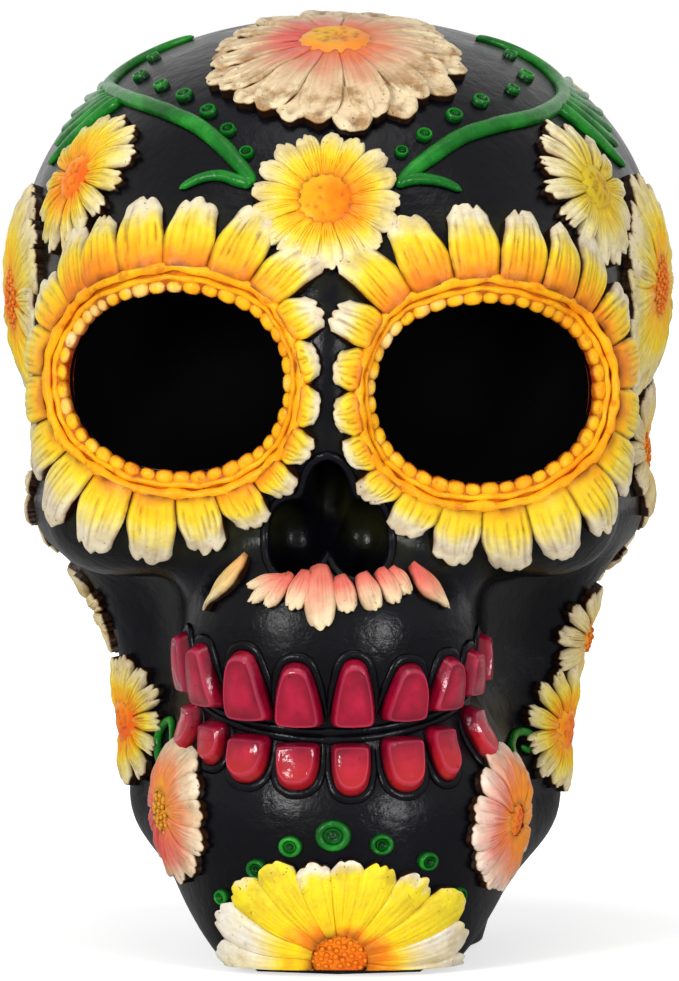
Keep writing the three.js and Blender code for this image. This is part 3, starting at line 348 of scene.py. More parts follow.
# Moustache petals, from root to tip as shares of the skull's width and height, with the width as a
# share of the named petal width
MOUSTACHE_PETAL_WIDTH = 4.1
LEAF_EDGE_DROP = 0.25
moustache_shares = [
    {"root": (-0.06, 0.411), "tip": (-0.118, 0.404), "width": 0.52},
    {"root": (-0.058, 0.412), "tip": (-0.112, 0.386), "width": 0.55},
    {"root": (-0.052, 0.414), "tip": (-0.086, 0.38), "width": 0.66},
    {"root": (-0.03, 0.416), "tip": (-0.05, 0.376), "width": 0.86},
    {"root": (-0.012, 0.421), "tip": (-0.008, 0.355), "width": 1.2},
    {"root": (0.018, 0.412), "tip": (0.031, 0.374), "width": 0.86},
    {"root": (0.049, 0.414), "tip": (0.067, 0.376), "width": 0.86},
    {"root": (0.074, 0.418), "tip": (0.095, 0.382), "width": 0.72},
    {"root": (0.09, 0.419), "tip": (0.112, 0.391), "width": 0.6},
]
moustache_leaf_shares = {
    "left": {"root": (-0.118, 0.435), "tip": (-0.179, 0.376), "width": 0.8},
    "right": {"root": (0.119, 0.424), "tip": (0.171, 0.377), "width": 0.88},
}

# Vines, leaf sprays, curls and dots
VINE_RADIUS = 1.35
BRANCH_RADIUS = 1
FROND_RADIUS = 1.35
CURL_RADIUS = 0.85
VINE_LIFT = 0.35
VINE_FLATNESS = 0.85
VINE_SIDES = 14
CURL_FLATNESS = 0.9
VINE_DOT_RADIUS = 1.3
VINE_DOT_HEIGHT = 1.05
CHIN_DOT_RADIUS = 2.6
CHIN_DOT_HEIGHT = 1.1
BUTTON_SIDES = 20
button_shares = [
    (0.0, 0.5), (0.1, 0.62), (0.2, 0.45), (0.3, 0.5), (0.4, 0.86), (0.52, 0.6), (0.66, 0.98), (0.8, 1.0),
    (0.92, 0.8), (1.0, 0.35), (1.0, -0.6),
]
vine_routes = {
    "left": [(-13, 39.4), (-16, 42), (-20.5, 45.1), (-27, 48.2), (-36, 50.8), (-49.5, 53.6), (-66, 56),
             (-84, 57.5), (-97, 61), (-103, 66), (-103, 70)],
    "right": [(12, 39), (15, 41.3), (20, 43.9), (26, 46.4), (34.5, 48.3), (46, 50.2), (59, 53), (74, 56),
              (88, 60), (97, 65), (96, 69.5), (90.5, 71)],
}
branch_routes = {
    "left": [(-13.1, 39.3), (-16.0, 39.8), (-19.5, 40.4), (-23.0, 39.7), (-26.1, 38.0)],
    "right": [(12.2, 39.5), (14.4, 40.1), (17.6, 39.9), (20.7, 39.1), (23.0, 37.8)],
}
frond_routes = {
    "left": [
        [(-58, 54.4), (-65, 49.8), (-73, 46), (-79, 44)],
        [(-62, 54.6), (-72, 50.2), (-84, 46.8)],
        [(-65, 54.8), (-77, 51.4), (-89, 48.8)],
        [(-68, 55), (-81, 53), (-94, 51)],
        [(-72, 55.6), (-85, 54.8), (-98, 53.6)],
        [(-76, 56.4), (-88, 56.6), (-100, 56.2)],
    ],
    "right": [
        [(60, 53.6), (66, 49.6), (74, 45.8), (80, 43.6)],
        [(64, 54.2), (73, 50), (84, 46.6)],
        [(67, 54.8), (79, 51.4), (90, 48.8)],
        [(70, 55.6), (83, 53.2), (95, 51.2)],
        [(74, 56.4), (87, 55.2), (99, 54)],
        [(78, 57.6), (91, 57.4), (102, 57)],
    ],
}
curl_routes = {
    "left": [(-47, -56.2), (-54, -57.6), (-62, -57.4), (-63, -55.8), (-55, -54.2), (-47, -53.6)],
    "right": [(44.1, -52.2), (41.3, -49.4), (44, -49.8), (50.3, -51.9), (58.2, -53.3), (65.1, -53.6),
              (67.2, -54.3), (64.3, -55), (60.2, -54.6)],
}
vine_dot_shares = [
    (-83, 64.5, 0.9), (-65, 60, 1.1), (-46.6, 57, 1), (-35, 54.2, 1.1), (-26, 50.8, 1.05), (-20, 47.5, 0.95),
    (-15.3, 44, 0.9), (79, 65.5, 0.9), (63.5, 60, 1.1), (48, 56, 0.9), (34.5, 53, 1.1), (26, 50, 1.05),
    (18.4, 46.7, 0.95), (13.5, 44.2, 0.8),
]
chin_dot_shares = [
    (-18.9, -53.8, 0.5), (-11.7, -50.2, 0.66), (-5.9, -47.6, 0.68), (0.9, -46.4, 1), (8.6, -47.2, 0.68),
    (16.5, -49.4, 0.62), (23, -53.3, 0.5),
]

# Nose rim
NOSE_RIM_WIDTH = 0.75
NOSE_RIM_HEIGHT = 0.6
NOSE_RIM_SIDES = 10
NOSE_SEARCH_REACH = 14.0
NOSE_COLUMNS = 64
NOSE_TRIES = 14
nose_middle_share = (0, -0.4, 0.462)
nose_inside_share = -0.3

# How deep the hollows are painted dark as shade, and how far back the wreaths' paint has drifted
NOSE_DARK_START = 2.5
NOSE_DARK_REACH = 6
SOCKET_DARK_START = 0.3
SOCKET_DARK_REACH = 0.8
DRIFT_BACK = -20

# Camera at the photograph's angle
CAMERA_BEARING = math.radians(1.5)
CAMERA_RISE = math.radians(2.5)
CAMERA_DISTANCE = 1.2
CAMERA_TARGET = Vector((0.3, 0, 72.2)) * MM
FOCAL_PIXELS = 7500
PICTURE_HEIGHT = 981
SENSOR_HEIGHT = 36

# Light. Each lamp has its place and its size in metres and its power in watts.
AIR_LIGHT = 0.38
WHITE = (1, 1, 1, 1)
LAMP_TARGET = (0, 0, 0.08)
studio_lamps = {
    "key lamp": ((-0.56, -0.98, 0.32), 0.22, 7.1),
    "fill lamp": ((0.62, -0.96, 0.14), 0.24, 4.7),
    "top lamp": ((0.0, -0.3, 1.0), 0.5, 2.0),
}
FLOOR_REACH = 6000
GLOW_START = 60
GLOW_END = 200
LEAST_GLOW = 0.64

# Gloss of the resin and of the paint over it
RESIN_SHEEN = 0.13
TOOTH_SHEEN = 0.28
PAINT_SHEEN = 0.18
GREEN_SHEEN = 0.2

# Layers on the meshes that the paints read
PAINT_GUIDES = ("reach", "across", "tint", "dip", "blush")

# Colours of the petals from root to tip, with the blush that some have, and for some the brown that darkens
# # their creases, partly a wash and partly painted shade
petal_colours = {
    "sunny": {"stops": [(0.0, "#f69a0c"), (0.22, "#f9bf14"), (0.5, "#f6da30"), (0.7, "#ecdb7c"),
                        (1.0, "#e6dab4")], "blush": "#f67a08"},
    "straw": {"stops": [(0.0, "#d9bc1c"), (0.2, "#e4cc34"), (0.45, "#e6d66a"), (0.65, "#e6dba0"),
                        (1.0, "#e6dcba")], "blush": "#e0a020"},
    # The lemon blush is a near-white painted highlight on the chin flower's tips
    "lemon": {"stops": [(0.0, "#f5860f"), (0.14, "#f9b812"), (0.26, "#f8d80e"), (0.86, "#f3df20"),
                        (0.98, "#eee2a0"), (1.0, "#ece6d0")], "blush": "#ebe7da"},
    "wreath": {"stops": [(0.0, "#ee7c06"), (0.14, "#fa9c08"), (0.32, "#fdc30e"), (0.54, "#f8d82a"),
                         (0.72, "#eddd80"), (0.92, "#e9dfc2")], "blush": "#f67408", "wash": "#703408",
               "wash_and_shade_strength": 1.0},
    "rose": {"stops": [(0.0, "#e8703a"), (0.16, "#e27c5a"), (0.36, "#dc9c7c"), (0.58, "#e0c29c"),
                       (1.0, "#e8d6b0")], "blush": "#dc4e5c", "wash": "#5c3010", "wash_and_shade_strength": 0.95,
             "speck_level": 0.66, "worn_level": 0.8},
    "blush": {"stops": [(0.0, "#f4a22a"), (0.22, "#f08c3e"), (0.48, "#ec9468"), (0.74, "#e9c8a4"),
                        (1.0, "#eadcc0")], "blush": "#df5058"},
    "sunset": {"stops": [(0.0, "#f7921a"), (0.26, "#f27e40"), (0.5, "#ea8c80"), (0.76, "#edbcae"),
                         (1.0, "#efdccb")], "blush": "#fb9614"},
    "pale": {"stops": [(0.0, "#e2a948"), (0.3, "#e2c774"), (0.7, "#dfcf98"), (1.0, "#dfd2b0")],
             "blush": "#e09a80"},
    "moustache": {"stops": [(0.0, "#d45656"), (0.26, "#e07868"), (0.5, "#e8a88a"), (0.8, "#ecdab4")],
                  "blush": "#d84f58"},
}

# Colours of the discs: middle, rim, pits, darkened partly as painted shade, and the glow painted on one side
# of each disc
disc_colours = {
    "smooth": ("#f79a0c", "#f4b418", "#9a4a0c", "#f86a02"),
    "pitted": ("#eeb02a", "#ea8e34", "#5c3a10", "#ee8a2c"),
    "soft": ("#f68612", "#f8a818", "#a3460f", "#f05c10"),
    "straw": ("#c9a81a", "#d8be2c", "#6a5210", "#d8a81c"),
    "grainy": ("#f28214", "#f59a1e", "#a3400c", "#f06c14"),
    "honey": ("#e8a826", "#f0a024", "#8a4a12", "#f08a22"),
}


# The bare head as a distance from its skin

def place(share, low=False):
    across, along, high = share
    return np.array([across * SKULL_WIDTH + (JAW_SIDESTEP if low else 0), along * SKULL_DEPTH,
                     FELT_THICKNESS + high * SKULL_HEIGHT])


def make_lump(share, side=1):
    across, along, high = share["at"]
    return {
        "at": place((side * across, along, high), share.get("low", False)),
        "reach": np.array(share["reach"]) * SKULL_SIZE,
        "squareness": share["squareness"],
        "blend": share.get("blend", 0) * SKULL_WIDTH,
    }


def make_bar(share, side):
    low = share.get("low", False)
    ends = [place((side * across, along, high), low) for across, along, high in (share["from"], share["to"])]
    return {"from": ends[0], "to": ends[1], "radius": share["radius"] * SKULL_WIDTH,
            "blend": share["blend"] * SKULL_WIDTH}


lumps = [make_lump(share, side) for share in lump_shares for side in ((-1, 1) if share.get("pair") else (1,))]
bars = [make_bar(share, side) for share in bar_shares for side in (-1, 1)]
sockets = {side: make_lump(share) for side, share in socket_shares.items()}
nose_lumps = [make_lump(share) for share in nose_shares]
core = place(core_share)


def lump_level(points, lump):
    ratio = np.abs(points - lump["at"]) / lump["reach"]
    return np.maximum((ratio ** lump["squareness"]).sum(axis=-1) ** (1 / lump["squareness"]), TINY)


def lump_distance(points, lump):
    level = lump_level(points, lump)
    ratio = np.abs(points - lump["at"]) / lump["reach"]
    slope = (ratio / level[..., None]) ** (lump["squareness"] - 1) / lump["reach"]
    return (level - 1) / np.maximum(np.linalg.norm(slope, axis=-1), TINY)


def bar_distance(points, bar):
    length = bar["to"] - bar["from"]
    offset = points - bar["from"]
    along = np.clip((offset @ length) / (length @ length), 0, 1)
    return np.linalg.norm(offset - along[..., None] * length, axis=-1) - bar["radius"]


def blended(first, second, blend):
    share = np.maximum(blend - np.abs(first - second), 0) / blend
    return np.minimum(first, second) - share * share * blend / 4


def head_distance(points):
    distance = lump_distance(points, lumps[0])
    for lump in lumps[1:]:
        distance = blended(distance, lump_distance(points, lump), lump["blend"])
    for bar in bars:
        distance = blended(distance, bar_distance(points, bar), bar["blend"])
    return distance


def unit(vectors):
    return vectors / np.maximum(np.linalg.norm(vectors, axis=-1, keepdims=True), TINY)


def skin_normal(points, here=None):
    here = head_distance(points) if here is None else here
    probes = [head_distance(points + PROBE * axis) - here for axis in np.eye(3)]
    return unit(np.stack(probes, axis=-1))


# From points inside the head, where the skin is met along directions
def skin_along(inside, directions, marches=MARCH_COUNT):
    inside, directions = np.broadcast_arrays(np.asarray(inside, float), np.asarray(directions, float))
    travel = np.zeros(inside.shape[:-1])
    for _ in range(marches):
        travel -= MARCH_EASE * head_distance(inside + travel[..., None] * directions)
    return inside + travel[..., None] * directions


def aim(bearing, rise):
    bearing, rise = np.radians(bearing), np.radians(rise)
    flat = np.cos(rise)
    return np.stack([flat * np.sin(bearing), -flat * np.cos(bearing), np.sin(rise)], axis=-1)


def level_and_uphill(normals):
    level = unit(np.cross(np.array([0.0, 0.0, 1.0]), normals))
    return level, np.cross(normals, level)


def even_turns(count):
    return 2 * math.pi * np.arange(count) / count


# A ring that stands upright and faces the front
def upright_ring(angles, wide, high):
    return np.stack([wide * np.cos(angles), np.zeros(len(angles)), high * np.sin(angles)], axis=-1)


# Walks along the skin from many starts at once and gives the spots at the asked distances
def walk_skin(starts, headings, distances):
    point, forward = np.array(starts, float), np.array(headings, float)
    normal = skin_normal(point)
    walked, points, normals = 0, [], []
    for distance in distances:
        steps = math.ceil((distance - walked) / WALK_STEP)
        for _ in range(steps):
            point = point + forward * (distance - walked) / steps
            here = head_distance(point)
            normal = skin_normal(point, here)
            point = point - normal * here[..., None]
            forward = unit(forward - normal * (forward * normal).sum(axis=-1, keepdims=True))
        walked = max(walked, distance)
        points.append(point.copy())
        normals.append(normal.copy())
    return np.stack(points, axis=-2), np.stack(normals, axis=-2)


# The skin round a seat, drawn up as a polar chart of angle and distance
class Chart:
    def __init__(self, points, normals):
        self.points, self.normals = points, normals

    def spots(self, angles, distances):
        angles, distances = np.broadcast_arrays(np.asarray(angles, float), np.asarray(distances, float))
        count, reach = self.points.shape[:2]
        turn = (angles / (2 * math.pi) * count) % count
        far = np.clip(distances / CHART_STEP, 0, reach - CHART_BRINK)
        left, near = turn.astype(int), far.astype(int)
        aside, ahead = (turn - left)[..., None], (far - near)[..., None]
        right = (left + 1) % count
        left = left % count
        found = []
        for table in (self.points, self.normals):
            inner = table[left, near] * (1 - aside) + table[right, near] * aside
            outer = table[left, near + 1] * (1 - aside) + table[right, near + 1] * aside
            found.append(inner * (1 - ahead) + outer * ahead)
        return found[0], unit(found[1])

    def raised(self, angles, distances, heights):
        points, normals = self.spots(angles, distances)
        return points + normals * np.asarray(heights)[..., None]

    def rooted(self, angles, distances):
        return self.raised(angles, distances, np.full(np.shape(distances), -ROOT_DEPTH))


def make_charts(seats, reach, columns):
    seats = np.array(seats)
    level, uphill = level_and_uphill(skin_normal(seats))
    turns = even_turns(columns)
    headings = level[:, None] * np.cos(turns)[:, None] + uphill[:, None] * np.sin(turns)[:, None]
    starts = np.repeat(seats[:, None], columns, axis=1)
    distances = np.arange(0, reach + CHART_STEP, CHART_STEP)
    points, normals = walk_skin(starts.reshape(-1, 3), headings.reshape(-1, 3), distances)
    shape = (len(seats), columns, len(distances), 3)
    return [Chart(*pair) for pair in zip(points.reshape(shape), normals.reshape(shape))]


# Meshes

def seed_of(name):
    return np.random.default_rng(zlib.crc32(name.encode()))


def linked(name, data):
    item = bpy.data.objects.new(name, data)
    bpy.context.collection.objects.link(item)
    return item


def drawn_mesh(name, points, edges, faces):
    mesh = bpy.data.meshes.new(name)
    mesh.from_pydata((np.asarray(points) * MM).tolist(), edges, faces)
    return mesh


def mesh_of(name, shape):
    mesh = bpy.data.meshes.new(name)
    shape.to_mesh(mesh)
    shape.free()
    return mesh


def corners_and_faces(shape):
    shape.verts.index_update()
    points = np.array([vertex.co[:] for vertex in shape.verts])
    faces = [[vertex.index for vertex in face.verts] for face in shape.faces]
    shape.free()
    return points, faces


def write_guide(mesh, guide, values):
    values = np.asarray(values, np.float32)
    kind, field = ("FLOAT_VECTOR", "vector") if values.ndim == 2 else ("FLOAT", "value")
    mesh.attributes.new(guide, kind, "POINT").data.foreach_set(field, values.reshape(-1))


# The border of a grid, run round once
def border_of(grid):
    return np.concatenate([grid[0, :-1], grid[:-1, -1], grid[-1, :0:-1], grid[:0:-1, 0]])


def signed_volume(points, faces):
    corners = np.array([[face[0], face[step], face[step + 1]] for face in faces
                        for step in range(1, len(face) - 1)])
    first, second, third = points[corners[:, 0]], points[corners[:, 1]], points[corners[:, 2]]
    return float((first * np.cross(second, third)).sum())


# Collects closed shells and the guides that their paint follows
class Casting:
    def __init__(self):
        self.points, self.faces, self.guides = [], [], {guide: [] for guide in PAINT_GUIDES}
        self.count = 0

    def add(self, points, faces, guides):
        if signed_volume(points, faces) < 0:
            faces = [face[::-1] for face in faces]
        self.faces.extend([[corner + self.count for corner in face] for face in faces])
        self.points.append(points)
        for guide, values in self.guides.items():
            values.append(np.broadcast_to(guides.get(guide, 0.0), (len(points),)))
        self.count += len(points)

    # A band that runs right round, with a top and an underside
    def add_band(self, top, under, guides):
        rows, columns = top.shape[:2]
        grid = np.arange(rows * columns).reshape(rows, columns)
        low = grid + rows * columns
        after = np.roll(np.arange(columns), -1)
        faces = []
        for row in range(rows - 1):
            for here, beside in enumerate(after):
                faces.append([grid[row, here], grid[row, beside], grid[row + 1, beside], grid[row + 1, here]])
                faces.append([low[row, here], low[row + 1, here], low[row + 1, beside], low[row, beside]])
        for row, flip in ((0, 1), (rows - 1, -1)):
            for here, beside in enumerate(after):
                faces.append([grid[row, beside], grid[row, here], low[row, here], low[row, beside]][::flip])
        doubled = {guide: np.tile(np.broadcast_to(value, (rows, columns)).reshape(-1), 2)
                   for guide, value in guides.items()}
        self.add(np.concatenate([top.reshape(-1, 3), under.reshape(-1, 3)]), faces, doubled)

    # A sheet with a lip below its border and a root below the lip, both painted dark: partly the bare dark
    # casting, partly painted shade under the petal's edge
    def add_petal(self, top, lip, foot, guides):
        rows, columns = top.shape[:2]
        grid = np.arange(rows * columns).reshape(rows, columns)
        border = border_of(grid)
        brink = rows * columns + np.arange(len(border))
        low = brink + len(border)
        root = rows * columns + 2 * len(border)
        faces = [[grid[row, column], grid[row, column + 1], grid[row + 1, column + 1], grid[row + 1, column]]
                 for row in range(rows - 1) for column in range(columns - 1)]
        for here in range(len(border)):
            after = (here + 1) % len(border)
            faces.append([border[after], border[here], brink[here], brink[after]])
            faces.append([brink[after], brink[here], low[here], low[after]])
            faces.append([low[here], root, low[after]])
        points = np.concatenate([top.reshape(-1, 3), lip, foot, foot.mean(axis=0)[None]])
        spread = {}
        for guide, value in guides.items():
            value = np.broadcast_to(value, (rows, columns)).reshape(-1)
            spread[guide] = np.concatenate([value, value[border], value[border], value[:1]])
        spread["dip"][rows * columns:] = BARE_WALL_AND_SHADE
        self.add(points, faces, spread)

    # A dome of rings round a middle, closed below. Each guide is given at the middle, over the rings
    # and at the foot.
    def add_dome(self, middle, rings, under, guides):
        count, columns = rings.shape[:2]
        ring = 1 + np.arange(count * columns).reshape(count, columns)
        foot = 1 + count * columns + np.arange(columns)
        root = 1 + (count + 1) * columns
        faces = []
        for column in range(columns):
            beside = (column + 1) % columns
            faces.append([0, ring[0, column], ring[0, beside]])
            for near, far in zip(ring, ring[1:]):
                faces.append([near[column], far[column], far[beside], near[beside]])
            faces.append([ring[-1, column], foot[column], foot[beside], ring[-1, beside]])
            faces.append([foot[column], root, foot[beside]])
        points = np.concatenate([middle[None], rings.reshape(-1, 3), under, under.mean(axis=0)[None]])
        spread = {guide: np.concatenate([[first], np.broadcast_to(over, (count, columns)).reshape(-1),
                                         np.full(columns + 1, last)])
                  for guide, (first, over, last) in guides.items()}
        self.add(points, faces, spread)

    def piece(self, name, material):
        mesh = drawn_mesh(name, np.concatenate(self.points), [], self.faces)
        for guide, values in self.guides.items():
            write_guide(mesh, guide, np.concatenate(values))
        return finished_object(name, mesh, material)


def finished_object(name, mesh, material):
    mesh.shade_smooth()
    mesh.set_sharp_from_angle(angle=SHARP_EDGE)
    mesh.materials.clear()
    mesh.materials.append(material)
    return linked(name, mesh)


def fit(piece, slot, *nodes):
    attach(piece, "root")
    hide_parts(*nodes)


# What lies below the flat base is cut off and closed
def cut_at_base(piece):
    mesh = piece.data
    if min(vertex.co.z for vertex in mesh.vertices) > FELT_THICKNESS * MM:
        return
    shape = bmesh.new()
    shape.from_mesh(mesh)
    everything = shape.verts[:] + shape.edges[:] + shape.faces[:]
    bmesh.ops.bisect_plane(shape, geom=everything, dist=CUT_PRECISION, plane_co=(0, 0, FELT_THICKNESS * MM),
                           plane_no=(0, 0, 1), clear_inner=True)
    open_edges = [edge for edge in shape.edges if edge.is_boundary]
    bmesh.ops.holes_fill(shape, edges=open_edges, sides=0)
    bmesh.ops.triangulate(shape, faces=[face for face in shape.faces if len(face.verts) > 4])
    shape.to_mesh(mesh)
    shape.free()
    mesh.set_sharp_from_angle(angle=SHARP_EDGE)


# Paint

def shade(code):
    channels = [int(code[start:start + 2], 16) / 255 for start in (1, 3, 5)]
    linear = [value / 12.92 if value <= 0.04045 else ((value + 0.055) / 1.055) ** 2.4 for value in channels]
    return (*linear, 1.0)


# A node tree and short ways to add its nodes, whose inputs are sockets to join or values to set
class Nodes:
    def __init__(self, tree):
        self.tree = tree

    def plug(self, value, socket):
        if isinstance(value, bpy.types.NodeSocket):
            self.tree.links.new(value, socket)
        else:
            socket.default_value = value

    def node(self, kind, inputs=None, **settings):
        node = self.tree.nodes.new(kind)
        for setting, value in settings.items():
            setattr(node, setting, value)
        for socket, value in (inputs or {}).items():
            self.plug(value, node.inputs[socket])
        return node.outputs


# A paint pot: one material and short ways to mix it
class Paint(Nodes):
    def __init__(self, name):
        self.material = bpy.data.materials.new(name)
        self.material.use_nodes = True
        super().__init__(self.material.node_tree)
        self.shader = self.tree.nodes["Principled BSDF"].inputs
        self.place = self.node("ShaderNodeTexCoord")["Object"]

    def guide(self, name):
        return self.node("ShaderNodeAttribute", attribute_name=name)["Fac"]

    def noise(self, scale, detail=3.0, roughness=0.5):
        return self.node("ShaderNodeTexNoise", {"Vector": self.place, "Scale": scale, "Detail": detail,
                                                "Roughness": roughness})["Fac"]

    def maths(self, operation, first, second, clamp=False):
        inputs = {0: first, 1: second}
        return self.node("ShaderNodeMath", inputs, operation=operation, use_clamp=clamp)["Value"]

    def remap(self, value, low, high, bottom=0.0, top=1.0):
        return self.node("ShaderNodeMapRange", {"Value": value, "From Min": low, "From Max": high,
                                                "To Min": bottom, "To Max": top}, clamp=True)["Result"]

    # Soft patches between two values
    def patches(self, scale, detail, bottom, top):
        return self.remap(self.noise(scale, detail), 0.3, 0.7, bottom, top)

    # Noise round zero
    def drift(self, scale, detail, strength):
        return self.maths("MULTIPLY", self.maths("SUBTRACT", self.noise(scale, detail), 0.5), strength)

    def ramp(self, value, stops):
        node = self.tree.nodes.new("ShaderNodeValToRGB")
        elements = node.color_ramp.elements
        while len(elements) < len(stops):
            elements.new(0.5)
        for element, (position, code) in zip(elements, stops):
            element.position, element.color = position, shade(code)
        self.plug(value, node.inputs["Fac"])
        return node.outputs["Color"]

    def mix(self, factor, first, second):
        first, second = [shade(code) if isinstance(code, str) else code for code in (first, second)]
        return self.node("ShaderNodeMix", {"Factor": factor, 6: first, 7: second}, data_type="RGBA")[2]

    # Paints over the colour where a noise is high
    def flecks(self, colour, code, noise, low, high, strength):
        return self.mix(self.remap(noise, low, high, 0, strength), colour, code)

    # Paints over the colour where a guide is high
    def wash(self, colour, code, guide, strength, clamp=False):
        return self.mix(self.maths("MULTIPLY", guide, strength, clamp), colour, code)

    def bump(self, height, distance):
        bumped = self.node("ShaderNodeBump", {"Height": height, "Distance": distance * MM})["Normal"]
        self.plug(bumped, self.shader["Normal"])

    def finish(self, colour, roughness, sheen=None):
        self.plug(colour, self.shader["Base Color"])
        self.plug(roughness, self.shader["Roughness"])
        if sheen is not None:
            self.shader["Specular IOR Level"].default_value = sheen
        return self.material


# The brushed paint of petals: stops from root to tip, brown in the grooves and creases, partly a wash and
# partly painted shade, worn and speckled tips
def petal_paint(name, stops, blush, wash="#6b3810", wash_and_shade_strength=0.9, speck_level=0.68, worn_level=0.35):
    paint = Paint(f"{name} petals")
    reach, dip = paint.guide("reach"), paint.guide("dip")
    tint = paint.maths("MULTIPLY", paint.maths("SUBTRACT", paint.guide("tint"), 0.5), 0.2)
    drifted = paint.maths("ADD", paint.maths("ADD", reach, paint.drift(260, 4, 0.55)), tint)
    colour = paint.ramp(drifted, stops)
    uneven = paint.remap(paint.noise(180), 0.3, 0.65, 0.6, 1)
    colour = paint.wash(colour, blush, paint.guide("blush"), uneven, True)
    colour = paint.flecks(colour, "#c39a50", paint.noise(900, 4, 0.6), 0.35, 0.7, 0.22)
    worn = paint.remap(paint.noise(250, 5, 0.6), 0.46, 0.62, 0, worn_level)
    colour = paint.wash(colour, "#94642c", worn, paint.remap(reach, 0.4, 0.8))
    # Grooves, creases and walls are darkened brown, partly a wash and partly painted shade
    crease_wash_and_shade = paint.maths("MULTIPLY", dip, paint.remap(paint.noise(420, 4), 0.3, 0.66, 0.3, 1))
    colour = paint.wash(colour, wash, crease_wash_and_shade, wash_and_shade_strength, True)
    # The walls and lips are painted near black: partly the bare casting, partly painted shade
    colour = paint.flecks(colour, "#120b06", dip, 1.05, 1.7, 0.9)
    speck = paint.remap(paint.noise(1500, 2), speck_level, speck_level + 0.04, 0, 0.7)
    colour = paint.wash(colour, "#4a2e14", speck, paint.remap(reach, 0.45, 0.9, 0.1, 1))
    paint.bump(paint.noise(1100, 4, 0.6), 0.12)
    return paint.finish(colour, paint.patches(500, 3, 0.3, 0.5), PAINT_SHEEN)


# The resin keeps its gloss where it is seen square on and loses it toward its outline
def black_resin():
    paint = Paint("black resin")
    sheen = paint.shader["Specular IOR Level"]
    sheen.default_value = RESIN_SHEEN
    facing = paint.node("ShaderNodeLayerWeight")["Facing"]
    paint.plug(paint.remap(facing, 0.15, 1.0, RESIN_SHEEN, 0.01), sheen)
    colour = paint.mix(paint.remap(paint.noise(45, 5, 0.6), 0.35, 0.7), "#040407", "#0a0b12")
    overspray = paint.maths("MULTIPLY", paint.guide("blush"), paint.remap(paint.noise(160, 4), 0.4, 0.62))
    colour = paint.wash(colour, "#3c3c10", overspray, 0.3)
    # Deep in the sockets and the nose the resin is painted near black: painted shade
    hollow = paint.guide("dip")
    colour = paint.mix(hollow, colour, "#010101")
    ripples = paint.maths("MULTIPLY", paint.noise(90), 1.4)
    paint.bump(paint.maths("ADD", paint.noise(420, 5, 0.62), ripples), 0.17)
    return paint.finish(colour, paint.maths("MAXIMUM", paint.patches(140, 4, 0.17, 0.3), hollow))


def cord_orange():
    paint = Paint("eye ring orange")
    # The beads' reach guide holds painted light: beads toward the upper left are painted paler, and some
    # paler at random
    reach = paint.maths("ADD", paint.maths("MAXIMUM", paint.guide("reach"), 0.35), paint.drift(240, 4, 1.2))
    colour = paint.ramp(reach, [(0.0, "#f58c0a"), (0.35, "#fba80c"), (0.7, "#fdc21a"), (1.0, "#f7d890")])
    colour = paint.flecks(colour, "#dd6c0c", paint.noise(700, 4), 0.54, 0.68, 0.3)
    colour = paint.flecks(colour, "#a4460a", paint.noise(520), 0.58, 0.7, 0.5)
    uneven = paint.remap(paint.noise(380, 4), 0.25, 0.6, 0.5, 1)
    # The band between the cords and the foot of each bead are painted dark orange-brown: painted shade
    colour = paint.wash(colour, "#963008", paint.guide("dip"), uneven, True)
    paint.bump(paint.noise(600, 4, 0.6), 0.2)
    return paint.finish(colour, paint.patches(400, 3, 0.28, 0.46), PAINT_SHEEN)


def disc_paint(name, middle, rim, pit, glow):
    paint = Paint(f"{name} disc")
    reach = paint.maths("ADD", paint.guide("reach"), paint.drift(300, 4, 0.8))
    colour = paint.ramp(reach, [(0.0, middle), (0.55, middle), (1.0, rim)])
    # The blush guide of a disc holds a painted glow, on the same side of every disc
    lit = paint.maths("ADD", paint.guide("blush"), paint.maths("SUBTRACT", paint.noise(260), 0.5))
    colour = paint.flecks(colour, glow, lit, 0.35, 0.8, 0.9)
    # The pits and the groove are painted darker: partly a brown wash, partly painted shade
    colour = paint.wash(colour, pit, paint.guide("dip"), paint.remap(paint.noise(600), 0.3, 0.6, 0.4, 1))
    paint.bump(paint.noise(900, 4, 0.6), 0.12)
    return paint.finish(colour, paint.patches(500, 3, 0.3, 0.48), PAINT_SHEEN)


def green_paint():
    paint = Paint("vine green")
    colour = paint.ramp(paint.noise(170, 5, 0.6), [(0.25, "#064a10"), (0.5, "#0a6a18"), (0.75, "#2a9a2c")])
    # Dimples and feet of the dots are painted dark green: painted shade
    colour = paint.wash(colour, "#032009", paint.guide("dip"), 0.85)
    colour = paint.flecks(colour, "#4fa455", paint.noise(900), 0.62, 0.7, 0.25)
    paint.bump(paint.noise(600, 4, 0.6), 0.16)
    return paint.finish(colour, paint.patches(300, 3, 0.2, 0.34), GREEN_SHEEN)


def crimson_paint():
    paint = Paint("tooth crimson")
    colour = paint.mix(paint.patches(220, 4, 0, 1), "#6c0420", "#98082a")
    lit = paint.remap(paint.noise(300, 4), 0.35, 0.65, 0.2, 0.9)
    # Each tooth is painted brighter in its middle and along its bevel as painted highlights, coral on the
    # lower teeth, and near black round its rim as painted shade
    washes = (("across", lit, "#bc1a3e"), ("blush", 0.65, "#b92420"), ("reach", 0.5, "#dc4a6e"),
              ("dip", 0.8, "#22030b"))
    for guide, strength, code in washes:
        colour = paint.wash(colour, code, paint.guide(guide), strength)
    colour = paint.flecks(colour, "#3c0510", paint.noise(1100, 2), 0.7, 0.74, 0.6)
    paint.bump(paint.maths("ADD", paint.noise(350, 4, 0.6), paint.noise(90, 2)), 0.16)
    return paint.finish(colour, paint.patches(260, 3, 0.1, 0.22), TOOTH_SHEEN)


